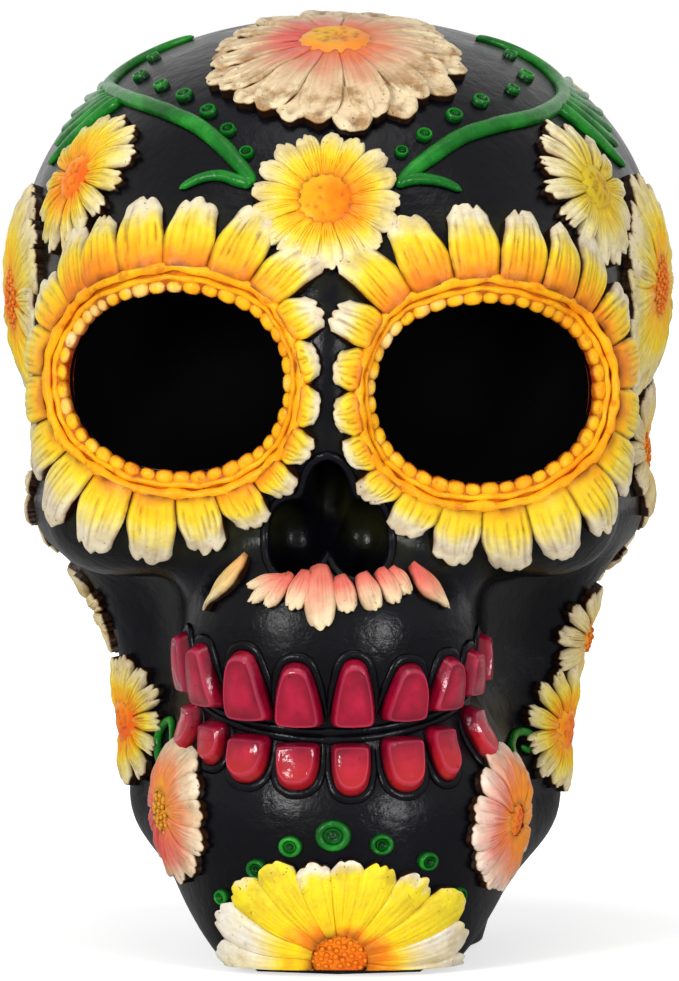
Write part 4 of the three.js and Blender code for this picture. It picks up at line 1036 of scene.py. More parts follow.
def felt_cloth():
    paint = Paint("base felt")
    fibres = paint.noise(2600, 5, 0.7)
    paint.bump(fibres, 0.3)
    paint.shader["Sheen Weight"].default_value = 0.4
    return paint.finish(paint.mix(paint.remap(fibres, 0.3, 0.7), "#101013", "#2b2b30"), 0.95)


# Paper that glows for the camera alone, less so near the object, where its shadow shows
def floor_paper():
    paint = Paint("studio floor")
    far = paint.node("ShaderNodeVectorMath", {0: paint.place}, operation="LENGTH")["Value"]
    glow = paint.maths("MULTIPLY", paint.remap(far, GLOW_START * MM, GLOW_END * MM, LEAST_GLOW, 1.0),
                       paint.node("ShaderNodeLightPath")["Is Camera Ray"])
    paint.shader["Emission Color"].default_value = WHITE
    paint.plug(glow, paint.shader["Emission Strength"])
    return paint.finish(paint.mix(paint.patches(30, 3, 0, 1), "#e6e6e6", "#eaeaea"), 0.95, 0)


resin = black_resin()
orange_cord = cord_orange()
green = green_paint()
crimson = crimson_paint()
felt = felt_cloth()
petal_paints = {name: petal_paint(name, **colours) for name, colours in petal_colours.items()}
disc_paints = {name: disc_paint(name, *colours) for name, colours in disc_colours.items()}


# Geometry Nodes

# A tree that grows pieces: its named inputs, its guides and its last steps
class Growth(Nodes):
    def __init__(self, name, inputs):
        super().__init__(bpy.data.node_groups.new(name, "GeometryNodeTree"))
        for given, kind in inputs.items():
            self.tree.interface.new_socket(given, in_out="INPUT", socket_type=f"NodeSocket{kind}")
        self.tree.interface.new_socket("Geometry", in_out="OUTPUT", socket_type="NodeSocketGeometry")
        self.given = self.node("NodeGroupInput")

    def named(self, guide, kind):
        outputs = self.node("GeometryNodeInputNamedAttribute", {"Name": guide}, data_type=kind)
        return next(socket for socket in outputs if socket.enabled)

    def finish(self, shape):
        real = self.node("GeometryNodeRealizeInstances", {"Geometry": shape})["Geometry"]
        coat = self.node("GeometryNodeSetMaterial", {"Geometry": real, "Material": self.given["Paint"]})
        self.node("NodeGroupOutput", {"Geometry": coat["Geometry"]})
        return self.tree


# A tree that sets a copy of one object on every point, turned by the point's guides
def copies_tree():
    growth = Growth("set copies on places", {"Geometry": "Geometry", "Copy": "Object", "Size": "Float",
                                             "Paint": "Material"})
    outward, along, proportions = [growth.named(guide, "FLOAT_VECTOR")
                                   for guide in ("outward", "along", "proportions")]
    stand = growth.node("FunctionNodeAlignRotationToVector", {"Vector": outward}, axis="Z")
    turn = growth.node("FunctionNodeAlignRotationToVector", {"Rotation": stand["Rotation"], "Vector": along},
                       axis="X", pivot_axis="Z")
    scale = growth.node("ShaderNodeVectorMath", {0: proportions, "Scale": growth.given["Size"]},
                        operation="SCALE")
    source = growth.node("GeometryNodeObjectInfo", {"Object": growth.given["Copy"]})
    setter = growth.node("GeometryNodeInstanceOnPoints", {
        "Points": growth.given["Geometry"], "Instance": source["Geometry"], "Rotation": turn["Rotation"],
        "Scale": scale["Vector"]})
    return growth.finish(setter["Instances"])


# A tree that runs a rounded bead of resin along a path, wide and high as asked
def bead_tree():
    growth = Growth("run a bead along a path", {"Geometry": "Geometry", "Width": "Float", "Height": "Float",
                                                "Sides": "Int", "Paint": "Material"})
    path = growth.node("GeometryNodeMeshToCurve", {"Mesh": growth.given["Geometry"]})["Curve"]
    outward = growth.named("outward", "FLOAT_VECTOR")
    facing = growth.node("GeometryNodeSetCurveNormal", {"Curve": path, "Normal": outward},
                         mode="FREE")["Curve"]
    circle = growth.node("GeometryNodeCurvePrimitiveCircle",
                         {"Radius": 1, "Resolution": growth.given["Sides"]})["Curve"]
    height, width = growth.given["Height"], growth.given["Width"]
    size = growth.node("ShaderNodeCombineXYZ", {"X": height, "Y": width, "Z": 1})
    oval = growth.node("GeometryNodeTransform", {"Geometry": circle, "Scale": size["Vector"]})["Geometry"]
    sweep = growth.node("GeometryNodeCurveToMesh", {"Curve": facing, "Profile Curve": oval, "Fill Caps": True,
                                                    "Scale": growth.named("thickness", "FLOAT")})
    return growth.finish(sweep["Mesh"])


copies = copies_tree()
bead_run = bead_tree()


# Runs a tree on a carrier with guides on its points and keeps the result as a plain mesh
def grown(name, points, edges, guides, tree, inputs):
    mesh = drawn_mesh(f"{name} carrier", points, edges, [])
    for guide, values in guides.items():
        write_guide(mesh, guide, values)
    carrier = linked(mesh.name, mesh)
    modifier = carrier.modifiers.new("grow", "NODES")
    modifier.node_group = tree
    for item in tree.interface.items_tree:
        if item.in_out == "INPUT" and item.name in inputs:
            modifier[item.identifier] = inputs[item.name]
    graph = bpy.context.evaluated_depsgraph_get()
    mesh = bpy.data.meshes.new_from_object(carrier.evaluated_get(graph), depsgraph=graph)
    carrier.modifiers.clear()
    bpy.data.objects.remove(carrier)
    mesh.name = name
    return finished_object(name, mesh, inputs["Paint"])


# Copies of one casting set on places over the skin
def set_copies(name, template, points, outward, along, proportions, material, reach=None):
    guides = {"outward": outward, "along": along, "proportions": proportions}
    if reach is not None:
        guides["reach"] = reach
    piece = grown(name, points, [], guides, copies, {"Copy": template, "Size": MM, "Paint": material})
    bpy.data.objects.remove(template)
    return piece


# Beads along several paths. Each path holds points, outward directions and its thickness at each point.
def run_beads(name, paths, width, height, material, sides=BEAD_SIDES):
    points, outward, thickness = [np.concatenate([path[key] for path in paths])
                                  for key in ("points", "outward", "thickness")]
    edges, start = [], 0
    for path in paths:
        count = len(path["points"])
        edges += [(start + step, start + step + 1) for step in range(count - 1)]
        if path.get("closed"):
            edges.append((start + count - 1, start))
        start += count
    inputs = {"Width": width * MM, "Height": height * MM, "Sides": sides, "Paint": material}
    return grown(name, points, edges, {"outward": outward, "thickness": thickness}, bead_run, inputs)


# A smooth line over the skin through places given by bearing and rise
def route_line(route):
    bearings, rises = [np.array(angles) for angles in zip(*route)]
    knots = skin_along(core, aim(bearings, rises))
    ends = np.concatenate([[2 * knots[0] - knots[1]], knots, [2 * knots[-1] - knots[-2]]])
    line = []
    for index in range(1, len(ends) - 2):
        before, here, after, beyond = ends[index - 1:index + 3]
        count = max(int(np.linalg.norm(after - here) / LINE_SPACING), 2)
        for share in np.arange(count) / count:
            line.append(0.5 * (2 * here + (after - before) * share
                               + (2 * before - 5 * here + 4 * after - beyond) * share ** 2
                               + (3 * here - before - 3 * after + beyond) * share ** 3))
    line.append(ends[-2])
    line = np.array(line)
    here = head_distance(line)
    normal = skin_normal(line, here)
    return line - normal * here[:, None], normal


# The two skull castings

def ball(detail):
    shape = bmesh.new()
    bmesh.ops.create_icosphere(shape, subdivisions=detail, radius=1)
    points, faces = corners_and_faces(shape)
    return unit(points), faces


def tool_object(name, points, faces):
    return linked(name, drawn_mesh(name, points, [], faces))


def lump_tool(name, lump, detail):
    directions, faces = ball(detail)
    corners = directions * lump["reach"]
    level = lump_level(corners + lump["at"], lump)
    return tool_object(name, corners / level[:, None] + lump["at"], faces)


# The block that holds the jaw, grown by the gap
def jaw_tool(name, gap):
    outward = (0, -1, -1, 1, 1, 0)
    outline = [(along * SKULL_DEPTH + side * gap, FELT_THICKNESS + high * SKULL_HEIGHT + gap)
               for (along, high), side in zip(jaw_seam_shares, outward)]
    outline += [(outline[-1][0], -CUT_OVERRUN), (outline[0][0], -CUT_OVERRUN)]
    half = SKULL_WIDTH / 2 + CUT_OVERRUN
    points = [(x, along, high) for x in (-half, half) for along, high in outline]
    count = len(outline)
    faces = [list(range(count))[::-1], list(range(count, 2 * count))]
    faces += [[step, (step + 1) % count, count + (step + 1) % count, count + step] for step in range(count)]
    tool = tool_object(name, points, faces)
    shape = bmesh.new()
    shape.from_mesh(tool.data)
    bmesh.ops.recalc_face_normals(shape, faces=shape.faces)
    shape.to_mesh(tool.data)
    shape.free()
    return tool


def ground_tool():
    shape = bmesh.new()
    bmesh.ops.create_cube(shape, size=1)
    points, faces = corners_and_faces(shape)
    points = points * (2 * SKULL_DEPTH, 2 * SKULL_DEPTH, FELT_THICKNESS + CUT_OVERRUN)
    points[:, 2] += (FELT_THICKNESS - CUT_OVERRUN) / 2
    return tool_object("ground", points, faces)


def carved(body, steps):
    for operation, tool in steps:
        cut = body.modifiers.new("carve", "BOOLEAN")
        cut.operation, cut.object, cut.solver = operation, tool, "MANIFOLD"
    graph = bpy.context.evaluated_depsgraph_get()
    mesh = bpy.data.meshes.new_from_object(body.evaluated_get(graph), depsgraph=graph)
    body.modifiers.clear()
    return mesh


# Guides for the black resin: how deep a spot lies in a socket or the nose, which is painted near black as
# # shade, and where the wreaths' paint has drifted onto it
def guide_resin(mesh):
    points = np.empty(len(mesh.vertices) * 3)
    mesh.vertices.foreach_get("co", points)
    points = points.reshape(-1, 3) / MM
    depth = -head_distance(points)
    in_nose = np.min([lump_level(points, lump) for lump in nose_lumps], axis=0) < 1.05
    hollow = np.clip((depth - NOSE_DARK_START) / NOSE_DARK_REACH, 0, 1) * np.where(in_nose, 0.5, 0)
    drift = np.zeros(len(points))
    for socket in sockets.values():
        dark = np.clip((depth - SOCKET_DARK_START) / SOCKET_DARK_REACH, 0, 1)
        hollow = np.where(lump_level(points, socket) < 1.02, dark, hollow)
        level = lump_level(points * (1, 0, 1) + socket["at"] * (0, 1, 0), socket)
        near = np.clip(1 - np.abs(level - 1.75) / 0.35, 0, 1) * (points[:, 1] < DRIFT_BACK)
        drift = np.maximum(drift, near)
    for guide in PAINT_GUIDES:
        write_guide(mesh, guide, {"dip": hollow, "blush": drift}.get(guide, np.zeros(len(points))))


def skull_castings():
    directions, faces = ball(SKULL_DETAIL)
    head = tool_object("head", skin_along(core, directions, HEAD_MARCHES), faces)
    ground = ground_tool()
    cutters = [lump_tool(f"socket {side}", socket, SOCKET_DETAIL) for side, socket in sockets.items()]
    cutters += [lump_tool(f"nose {index}", lump, NOSE_DETAIL) for index, lump in enumerate(nose_lumps)]
    above, below = jaw_tool("seam above", SEAM_GAP), jaw_tool("seam below", 0)
    upper = carved(head, [("DIFFERENCE", cutter) for cutter in (ground, above, *cutters)])
    lower = carved(head, [("DIFFERENCE", ground), ("INTERSECT", below)])
    for tool in (head, ground, above, below, *cutters):
        bpy.data.objects.remove(tool)
    for mesh, name, node in ((upper, "skull_casting", "cranium"), (lower, "jaw_casting", "mandible")):
        guide_resin(mesh)
        fit(finished_object(name, mesh, resin), "black_resin", node)


# Petals

def smooth_step(value):
    value = np.clip(value, 0, 1)
    return value * value * (3 - 2 * value)


def ridge(value, place, width):
    return np.exp(-((value - place) / width) ** 2)


# How far a petal's tip and its width reach
def petal_outline(look, chance, across, reach):
    tip = 1 - look["rounding"] * np.abs(across) ** look["bluntness"]
    for notch in notch_places:
        deep = look["notch"] * chance.uniform(0.2, 1.3)
        tip = tip - deep * ridge(across, notch + chance.uniform(-0.15, 0.15), 0.12)
    tip = tip - 0.2 * look["notch"] * np.sin(across * 8 + chance.uniform(0, 6))
    fill = look["spread"] - look["taper"] * smooth_step((reach - look["shoulder"]) / (1 - look["shoulder"]))
    return tip, fill


def petal_grooves(chance, across, reach):
    grooves = np.zeros((len(reach), across.shape[1]))
    for step in range(GROOVE_COUNT):
        centre = -0.75 + 1.5 * (step + chance.uniform(0.2, 0.8)) / GROOVE_COUNT
        start, stop = chance.uniform(0, 0.25), chance.uniform(0.6, 1)
        length = smooth_step((reach - start) / 0.1) * (1 - smooth_step((reach - stop + 0.15) / 0.15))
        line = ridge(across + 0.05 * np.sin(4 * reach + step), centre, GROOVE_WIDTH)
        grooves = np.maximum(grooves, chance.uniform(0.35, 1) * line * length)
    return grooves


# How deep in a crease each spot of a petal lies, which the paint darkens as a wash and as painted shade
def petal_creases(look, across, reach, grooves, dimple):
    creases = smooth_step((np.abs(across) - 0.86) / 0.12) * (1 - 0.55 * smooth_step((reach - 0.6) / 0.3))
    creases = np.maximum(creases, 1 - smooth_step(reach / 0.13))
    lines = 0.75 * min(look["groove"] / DARKEST_GROOVE, 1) * grooves
    return np.clip(np.maximum(np.maximum(lines, creases), 3 * look["hollow"] * dimple), 0, 1)


# The relief of one petal over a grid: how far its tip and its width reach, how high it stands, and
# the guides of its paint
def petal_relief(look, chance, columns=PETAL_COLUMNS, rows=PETAL_ROWS):
    across = np.linspace(-1, 1, columns)[None, :]
    reach = (np.linspace(0, 1, rows) ** 0.85)[:, None]
    tip, fill = petal_outline(look, chance, across, reach)
    height = look["root"] + (look["belly"] - look["root"]) * smooth_step(reach / 0.4)
    height = height + (look["tip"] - look["belly"]) * smooth_step((reach - 0.5) / 0.5)
    height = height + look["crown"] * (1 - across ** 2) + PETAL_SHINGLE * across
    grooves = petal_grooves(chance, across, reach)
    rims = ridge(np.abs(across), 0.84, 0.12) * smooth_step((reach - 0.25) / 0.4)
    rims = np.maximum(rims, ridge(reach, 0.95, 0.05))
    spoon = ridge(across, 0, 0.42) * ridge(reach, 0.78, 0.16)
    dimple = ridge(across, chance.uniform(-0.1, 0.1), 0.13) * ridge(reach, 0.9, 0.045)
    height = height - look["groove"] * grooves + look["rim"] * rims - look["hollow"] * (spoon + 1.4 * dimple)
    height = height + PETAL_WAVE * np.sin(5 * across + 9 * reach + chance.uniform(0, 6))
    edge = np.maximum(smooth_step((np.abs(across) - 0.78) / 0.22), 0.8 * smooth_step((reach - 0.92) / 0.08))
    height = (height - PETAL_EDGE_EASE * edge) * chance.uniform(0.95, 1.05)
    guides = {"reach": reach, "tint": chance.uniform(),
              "dip": petal_creases(look, across, reach, grooves, dimple)}
    return across, reach, tip, fill, height, guides


# Lays a petal on a chart and roots it below the skin
def lay_petal(casting, chart, angle, distance, height, guides):
    top = chart.raised(angle, distance, height)
    angles, distances = border_of(angle), border_of(distance)
    lip = chart.raised(angles, distances, border_of(height) - PETAL_LIP)
    casting.add_petal(top, lip, chart.rooted(angles, distances), guides)


# One petal of a flower, which fills a share of its sector
def add_petal(casting, chart, middle, half, inner, outer, kind, chance, lift, blush):
    across, reach, tip, fill, height, guides = petal_relief(petal_looks[kind["look"]], chance)
    distance = inner + (outer * tip - inner) * reach
    sway = 0.12 * half * chance.uniform(-1, 1) * reach ** 2
    angle = middle + across * half * fill + sway
    fade = 1 - smooth_step((reach - kind.get("blush reach", 0.2)) / 0.5)
    # The chin flower's tip glint whitens the outer part of its petals: a painted highlight
    if kind.get("tip glint"):
        fade = smooth_step((reach - 0.25) / 0.35)
    guides["blush"] = blush * fade
    lay_petal(casting, chart, angle, distance, height + lift * (1 - 0.5 * reach), guides)


# Discs

# Florets are set over a disc in a sunflower's spiral
def floret_places(chart, radius, height):
    count = int(2.2 * (radius / FLORET_SPACING) ** 2)
    order = np.arange(count)
    distance = radius * 0.92 * np.sqrt((order + 0.5) / count)
    angle = order * SUNFLOWER_TURN
    rise = height * np.sqrt(np.clip(1 - 0.5 * (distance / radius) ** 2, 0, 1))
    points, normals = chart.spots(angle, distance)
    beyond, _ = chart.spots(angle, distance + FLORET_PROBE)
    return points + normals * rise[:, None], normals, unit(beyond - points), distance / radius


# The sphere's corners and faces come in another order on each run, so they are sorted
def small_dome(name, sides=8, rings=3, squareness=2.0):
    shape = bmesh.new()
    bmesh.ops.create_uvsphere(shape, u_segments=sides, v_segments=2 * rings, radius=1)
    for vertex in shape.verts:
        vertex.co /= sum(abs(part) ** squareness for part in vertex.co) ** (1 / squareness)
    points, faces = corners_and_faces(shape)
    order = np.lexsort(np.round(points, SORT_DIGITS).T)
    rank = np.argsort(order)
    mesh = bpy.data.meshes.new(name)
    mesh.from_pydata(points[order].tolist(), [], sorted(rank[face].tolist() for face in faces))
    wide = np.array([math.hypot(vertex.co.x, vertex.co.y) for vertex in mesh.vertices])
    # The rim gets a dip guide, which the paints darken as painted shade round the foot of each floret and
    # bead
    write_guide(mesh, "dip", np.clip((wide - 0.72) / 0.25, 0, 1))
    mesh.shade_smooth()
    return linked(name, mesh)


# The relief of a disc: how high each spot stands and how deep in a pit it lies
def disc_relief(angle, share, height, kind, chance):
    whole = np.ones((DISC_RINGS, DISC_COLUMNS))
    rise, dip = height * (1 - 0.3 * share ** 2.4) * whole, 0 * whole
    if kind == "smooth":
        groove = ridge(share, 0.9, 0.045) * whole
        rise, dip = rise - DISC_GROOVE_DEPTH * groove, 0.75 * groove
    if kind == "pitted":
        rise = rise + DISC_SWELL * ridge(share, 0.74, 0.12) - DISC_SWELL * (1 - smooth_step(share / 0.6))
    for _ in range(disc_pits[kind]):
        turn, far = chance.uniform(0, 2 * math.pi), 0.62 * math.sqrt(chance.uniform())
        gap = np.hypot(share * np.cos(angle) - far * math.cos(turn),
                       share * np.sin(angle) - far * math.sin(turn))
        pit = ridge(gap, 0, chance.uniform(0.05, 0.09))
        rise, dip = rise - DISC_PIT_DEPTH * pit, np.maximum(dip, 0.8 * pit)
    return rise + DISC_WAVE * np.sin(6 * angle)[None, :] * share, dip


def add_disc(casting, chart, radius, height, kind, stretch, chance):
    angle = even_turns(DISC_COLUMNS)
    share = (np.arange(1, DISC_RINGS + 1) / DISC_RINGS)[:, None]
    wide = radius * (np.hypot(stretch * np.cos(angle), np.sin(angle))[None, :] if stretch > 1 else 1)
    distance = share * wide * np.ones((DISC_RINGS, DISC_COLUMNS))
    rise, dip = disc_relief(angle, share, height, kind, chance)
    # The same side of every disc is marked for a painted glow, carried in the blush guide
    lit = 0.5 + 0.55 * share * np.cos(angle + 0.3)
    casting.add_dome(chart.raised(0.0, 0.0, rise[0].mean()), chart.raised(angle[None, :], distance, rise),
                     chart.rooted(angle, distance[-1]),
                     {"reach": (0, share, 1), "dip": (dip[0].mean(), dip, 1), "blush": (0.5, lit, 0.5)})


# Flowers

# How pink or orange a petal is, by its angle round the flower
def blush_of(name, angle):
    # On the chin flower the blush is a near-white glint painted on the tips of the lower and side petals: a
    # painted highlight
    if name == "chin_flower":
        return float(smooth_step((0.36 - math.sin(angle)) / 0.1))
    turn, strength, always = flower_blushes.get(name, (0, 0.15, 0.5))
    return strength * max(always + (1 - always) * math.cos(angle - math.radians(turn)), 0)


def flower_petals(name, seat, kind, chart, chance):
    petals = Casting()
    radius, stretch = seat["radius"], seat.get("stretch", 1)
    inner = 0.8 * (kind["disc share"] * radius)
    for count, offset, length, lift in kind["petals"]:
        for index in range(count):
            angle = 2 * math.pi * (index + offset + chance.uniform(-0.05, 0.05)) / count
            long = radius * length * math.hypot(stretch * math.cos(angle), math.sin(angle))
            outer, blush = long * chance.uniform(0.95, 1.05), blush_of(name, angle)
            add_petal(petals, chart, angle, math.pi / count, inner, outer, kind, chance, lift, blush)
    return petals.piece(f"{name}_petals", petal_paints[kind["paint"]])


def make_flower(name, seat, chart):
    kind, chance = flower_kinds[seat["kind"]], seed_of(name)
    petals = flower_petals(name, seat, kind, chart, chance)
    radius, height = kind["disc share"] * seat["radius"], kind["disc height"]
    paint = disc_paints[kind["disc"]]
    boss = Casting()
    add_disc(boss, chart, radius, height, kind["disc"], seat.get("stretch", 1), chance)
    for piece, slot in ((petals, kind["slot"]), (boss.piece(f"{name}_disc", paint), "orange_paint")):
        cut_at_base(piece)
        fit(piece, slot, name)
    if kind["disc"] in ("grainy", "honey"):
        places = floret_places(chart, radius, height)
        above = places[0][:, 2] > FELT_THICKNESS + FLORET_SIZE
        points, normals, along, reach = [values[above] for values in places]
        size = FLORET_SIZE * np.array([1.0, 1.0, 0.9]) * np.ones((len(points), 3))
        fit(set_copies(f"{name}_florets", small_dome("floret"), points, normals, along, size, paint, reach),
            "orange_paint", name)


def make_flowers():
    directions = np.array([aim(*seat["aim"]) for seat in flower_seats.values()])
    widest = max(seat["radius"] * seat.get("stretch", 1) for seat in flower_seats.values())
    charts = make_charts(skin_along(core, directions), 1.08 * widest + CHART_MARGIN, FLOWER_CHART_COLUMNS)
    for (name, seat), chart in zip(flower_seats.items(), charts):
        make_flower(name, seat, chart)


# Eye wreaths

# Where the edge of a socket crosses the skin at each angle round it, seen from the front
def socket_edge(socket, angles):
    start = socket["at"] + np.array([0, socket["reach"][1], 0])
    share, point = np.ones(len(angles)), None
    for _ in range(EDGE_TRIES):
        ring = upright_ring(angles, share * socket["reach"][0], share * socket["reach"][2])
        point = skin_along(start + ring, FACEWARD)
        share = share / lump_level(point, socket)
    return point


# The skin round a socket, as a chart of the angle round it and the distance from its edge
def socket_chart(socket):
    starts = socket_edge(socket, even_turns(SOCKET_CHART_COLUMNS))
    normals = skin_normal(starts)
    headings = (starts - socket["at"]) * (1, 0, 1)
    headings = unit(headings - normals * (headings * normals).sum(axis=-1, keepdims=True))
    return Chart(*walk_skin(starts, headings, np.arange(0, SOCKET_CHART_REACH, CHART_STEP)))


# Even places round a ring on the chart, as angles, and the ring's length
def even_angles(chart, distance, count):
    fine = 2 * math.pi * np.arange(RING_FINENESS + 1) / RING_FINENESS
    points, _ = chart.spots(fine, distance)
    length = np.concatenate([[0], np.cumsum(np.linalg.norm(np.diff(points, axis=0), axis=1))])
    return np.interp(np.arange(count) / count * length[-1], length, fine), length[-1]


# A petal of a wreath, laid on the socket's chart between its two edge angles
def add_wreath_petal(casting, chart, left, right, outer, chance, blush, paleness):
    across, reach, tip, fill, height, guides = petal_relief(petal_looks["wreath"], chance)
    distance = WREATH_START + (outer - WREATH_START) * reach * tip
    middle, half = (left + right) / 2, (right - left) / 2
    angle = middle + half * across * fill + 0.1 * half * chance.uniform(-1, 1) * reach
    guides["blush"] = blush * (1 - smooth_step(reach / 0.5))
    guides["tint"] = guides["tint"] + paleness
    lay_petal(casting, chart, angle, distance, height, guides)


# How far a petal may reach before it comes too near the line between the two wreaths
def room_to_parting(chart, side, angle, wanted):
    distances = np.linspace(0, wanted, PARTING_TRIES)
    points, _ = chart.spots(np.full(PARTING_TRIES, angle), distances)
    clear = side * points[:, 0] > WREATH_PARTING
    return wanted if clear.all() else distances[np.argmin(clear)]


def wreath_petals(side_name, chart, chance):
    side, petals = -1 if side_name == "left" else 1, Casting()
    angles, _ = even_angles(chart, WREATH_START + WREATH_EVEN_REACH, EYE_PETALS)
    for angle, step in zip(angles, np.diff(np.append(angles, angles[0] + 2 * math.pi))):
        middle = angle + step / 2
        toward_nose = -side * math.cos(middle)
        noseward = max(math.cos(math.atan2(math.sin(middle), toward_nose) + SHORT_PETAL_DROP), 0)
        fullness = (1 - NOSEWARD_SHORTENING * noseward ** 2) * chance.uniform(0.95, 1.07)
        wanted = EYE_RING_WIDTH + WREATH_ROOT_GAP + EYE_PETAL_LENGTH * fullness
        outer = max(room_to_parting(chart, side, middle, wanted), WREATH_START + WREATH_PARTING)
        blush = 0.65 * max(math.sin(middle + (0.3 if side > 0 else -0.5)), 0) ** 2
        paleness = 1.05 * max(math.cos(middle - PALEST_WREATH_TURN[side_name]), 0)
        add_wreath_petal(petals, chart, angle, angle + step, outer, chance, blush, paleness)
    return petals.piece(f"eye_petals_{side_name}_wreath", petal_paints["wreath"])


# The orange band that the beads and cords lie on, painted dark orange-brown where it shows between them and
# darkest at its inner edge: painted shade
def ring_bed(name, chart):
    band, turns = Casting(), even_turns(SOCKET_CHART_COLUMNS)
    share = np.linspace(0, 1, BAND_ROWS)[:, None]
    whole = np.ones((BAND_ROWS, SOCKET_CHART_COLUMNS))
    distance = (EYE_BAND_START + share * (EYE_RING_WIDTH - EYE_BAND_START)) * whole
    height = EYE_BAND_HEIGHT * (0.62 + 0.38 * np.sin(math.pi * np.clip(share * 1.2, 0, 1))) * whole
    band.add_band(chart.raised(turns, distance, height), chart.rooted(turns, distance),
                  {"reach": 0.35, "dip": np.where(share < 0.1, 1.6, 0.85)})
    return band.piece(f"{name}_bed", orange_cord)


def ring_beads(name, chart, chance):
    angles, around = even_angles(chart, EYE_BEAD_LENGTH / 2, EYE_BEADS)
    points, normals = chart.spots(angles, np.full(EYE_BEADS, EYE_BEAD_LENGTH / 2))
    # Beads toward the upper left of the ring are painted paler, a painted highlight; the rest of the spread
    # is at random
    lit = 0.4 + 0.2 * chance.uniform(size=EYE_BEADS) + 0.3 * np.clip(np.cos(angles - math.radians(150)), 0, 1)
    outer, _ = chart.spots(angles, np.full(EYE_BEADS, EYE_BEAD_LENGTH))
    swell = np.array([chance.uniform(0.88, 1.14) for _ in range(EYE_BEADS)])[:, None]
    size = swell * np.array([EYE_BEAD_LENGTH / 2 + EYE_BEAD_OVERLAP, around / EYE_BEADS / 2 * 1.1,
                             EYE_BEAD_HEIGHT])
    middles = points + EYE_BEAD_LIFT * normals
    return set_copies(f"{name}_beads", small_dome("bead", 12, 4, 2.8), middles, normals, unit(outer - points),
                      size, orange_cord, lit)


def ring_cords(name, chart):
    turns, paths = even_turns(CORD_STEPS), []
    for distance, lift, radius in eye_cords:
        sway = CORD_SWAY * np.sin(9 * turns) + CORD_QUIVER * np.sin(23 * turns + distance)
        swell = 0.12 * np.sin(13 * turns + distance) + 0.12 * np.sin(31 * turns)
        points, normals = chart.spots(turns, distance + sway)
        paths.append({"points": points + lift * normals, "outward": normals, "closed": True,
                      "thickness": radius / EYE_CORD_RADIUS * (1 + swell)})
    return run_beads(f"{name}_cord", paths, EYE_CORD_RADIUS, EYE_CORD_RADIUS, orange_cord)


def make_wreath(side_name, socket):
    chart, chance = socket_chart(socket), seed_of(f"wreath {side_name}")
    fit(wreath_petals(side_name, chart, chance), "yellow_paint", f"eye_petals_{side_name}")
    ring = f"eye_ring_{side_name}"
    for piece in (ring_bed(ring, chart), ring_beads(ring, chart, chance), ring_cords(ring, chart)):
        fit(piece, "orange_paint", ring)


# Teeth and gums

def tooth_seats():
    seats = []
    for name, row in tooth_rows.items():
        for side, shares in row["teeth"].items():
            for index, (angle, width, length) in enumerate(shares):
                wide, long = width * row["width"], length * row["length"]
                mouth = place((0, 0, mouth_share))[2] + SMILE_RISE * (1 - math.cos(math.radians(angle)))
                middle = place((0, jaw_middle_share, 0))
                middle[2] = mouth + row["way"] * (MOUTH_GAP + long) / 2
                seats.append({"name": f"{name}_tooth_{side}_{index + 1}", "row": name, "width": wide,
                              "length": long, "angle": angle, "point": skin_along(middle, aim(angle, 0))})
    return seats


# A tooth's outline grown by a margin, as an even run of angles and reaches, with its corners rounded
def tooth_outline(tooth, margin, count):
    shares = tooth_rows[tooth["row"]]["outline"]
    width, length = tooth["width"] + 2 * margin, tooth["length"] + 2 * margin
    corners = np.array([(across * width, along * length) for across, along in shares])
    for _ in range(3):
        after = np.roll(corners, -1, axis=0)
        corners = np.stack([0.8 * corners + 0.2 * after, 0.2 * corners + 0.8 * after], axis=1).reshape(-1, 2)
    angles = np.arctan2(corners[:, 1], corners[:, 0])
    order = np.argsort(angles)
    angles, reach = angles[order], np.hypot(corners[:, 0], corners[:, 1])[order]
    turns = np.linspace(-math.pi, math.pi, count, endpoint=False)
    return turns, np.interp(turns, angles, reach, period=2 * math.pi)


def add_tooth(casting, chart, tooth, chance):
    row = tooth_rows[tooth["row"]]
    local, reach = tooth_outline(tooth, 0, TOOTH_COLUMNS)
    angles = local + row["turn"]
    share = np.array(tooth_ring_shares)[:, None]
    distance = share * reach
    face = 1 - 0.62 * np.clip((share - 0.78) / 0.22, 0, 1) ** 1.2
    height = TOOTH_HEIGHT * (face - TOOTH_DOMING * share ** 2) * np.ones_like(distance)
    height = height + TOOTH_BEVEL * ridge(share, 0.78, 0.06)
    height = height + TOOTH_WAVE * np.sin(3 * local + chance.uniform(0, 6)) * share
    height = height + TOOTH_LEAN * np.cos(local - chance.uniform(0, 6)) * share
    height = height - row["tilt"] * distance * np.sin(local)
    # The reach guide marks the bevel for a painted highlight, across the middle for another, and dip the rim
    # for painted shade
    casting.add_dome(chart.raised(0.0, 0.0, TOOTH_HEIGHT), chart.raised(angles[None, :], distance, height),
                     chart.rooted(angles, reach),
                     {"reach": (0, ridge(share, 0.79, 0.035), 0),
                      "dip": (0, smooth_step((share - 0.93) / 0.07), 1),
                      "across": (1, 1 - smooth_step((share - 0.25) / 0.5), 0),
                      "blush": (0, np.clip(0.5 + 0.9 * np.sin(local) * share, 0, 1) * row["glow"], 0)})


# The raised line of black resin that arches over a tooth's root
def gum_path(chart, tooth):
    local, reach = tooth_outline(tooth, GUM_MARGIN, GUM_COLUMNS)
    turns = np.radians(np.linspace(-50, 230, GUM_STEPS))
    reach = np.interp((turns + math.pi) % (2 * math.pi) - math.pi, local, reach, period=2 * math.pi)
    points, normals = chart.spots(turns + tooth_rows[tooth["row"]]["turn"], reach + GUM_OUTSET)
    along = np.linspace(0, math.pi, GUM_STEPS)
    thickness = 0.15 + 0.85 * np.sqrt(np.sin(along)) * (1 + 0.08 * np.sin(9 * along + tooth["angle"]))
    return {"points": points + GUM_LIFT * normals, "outward": normals, "thickness": thickness}


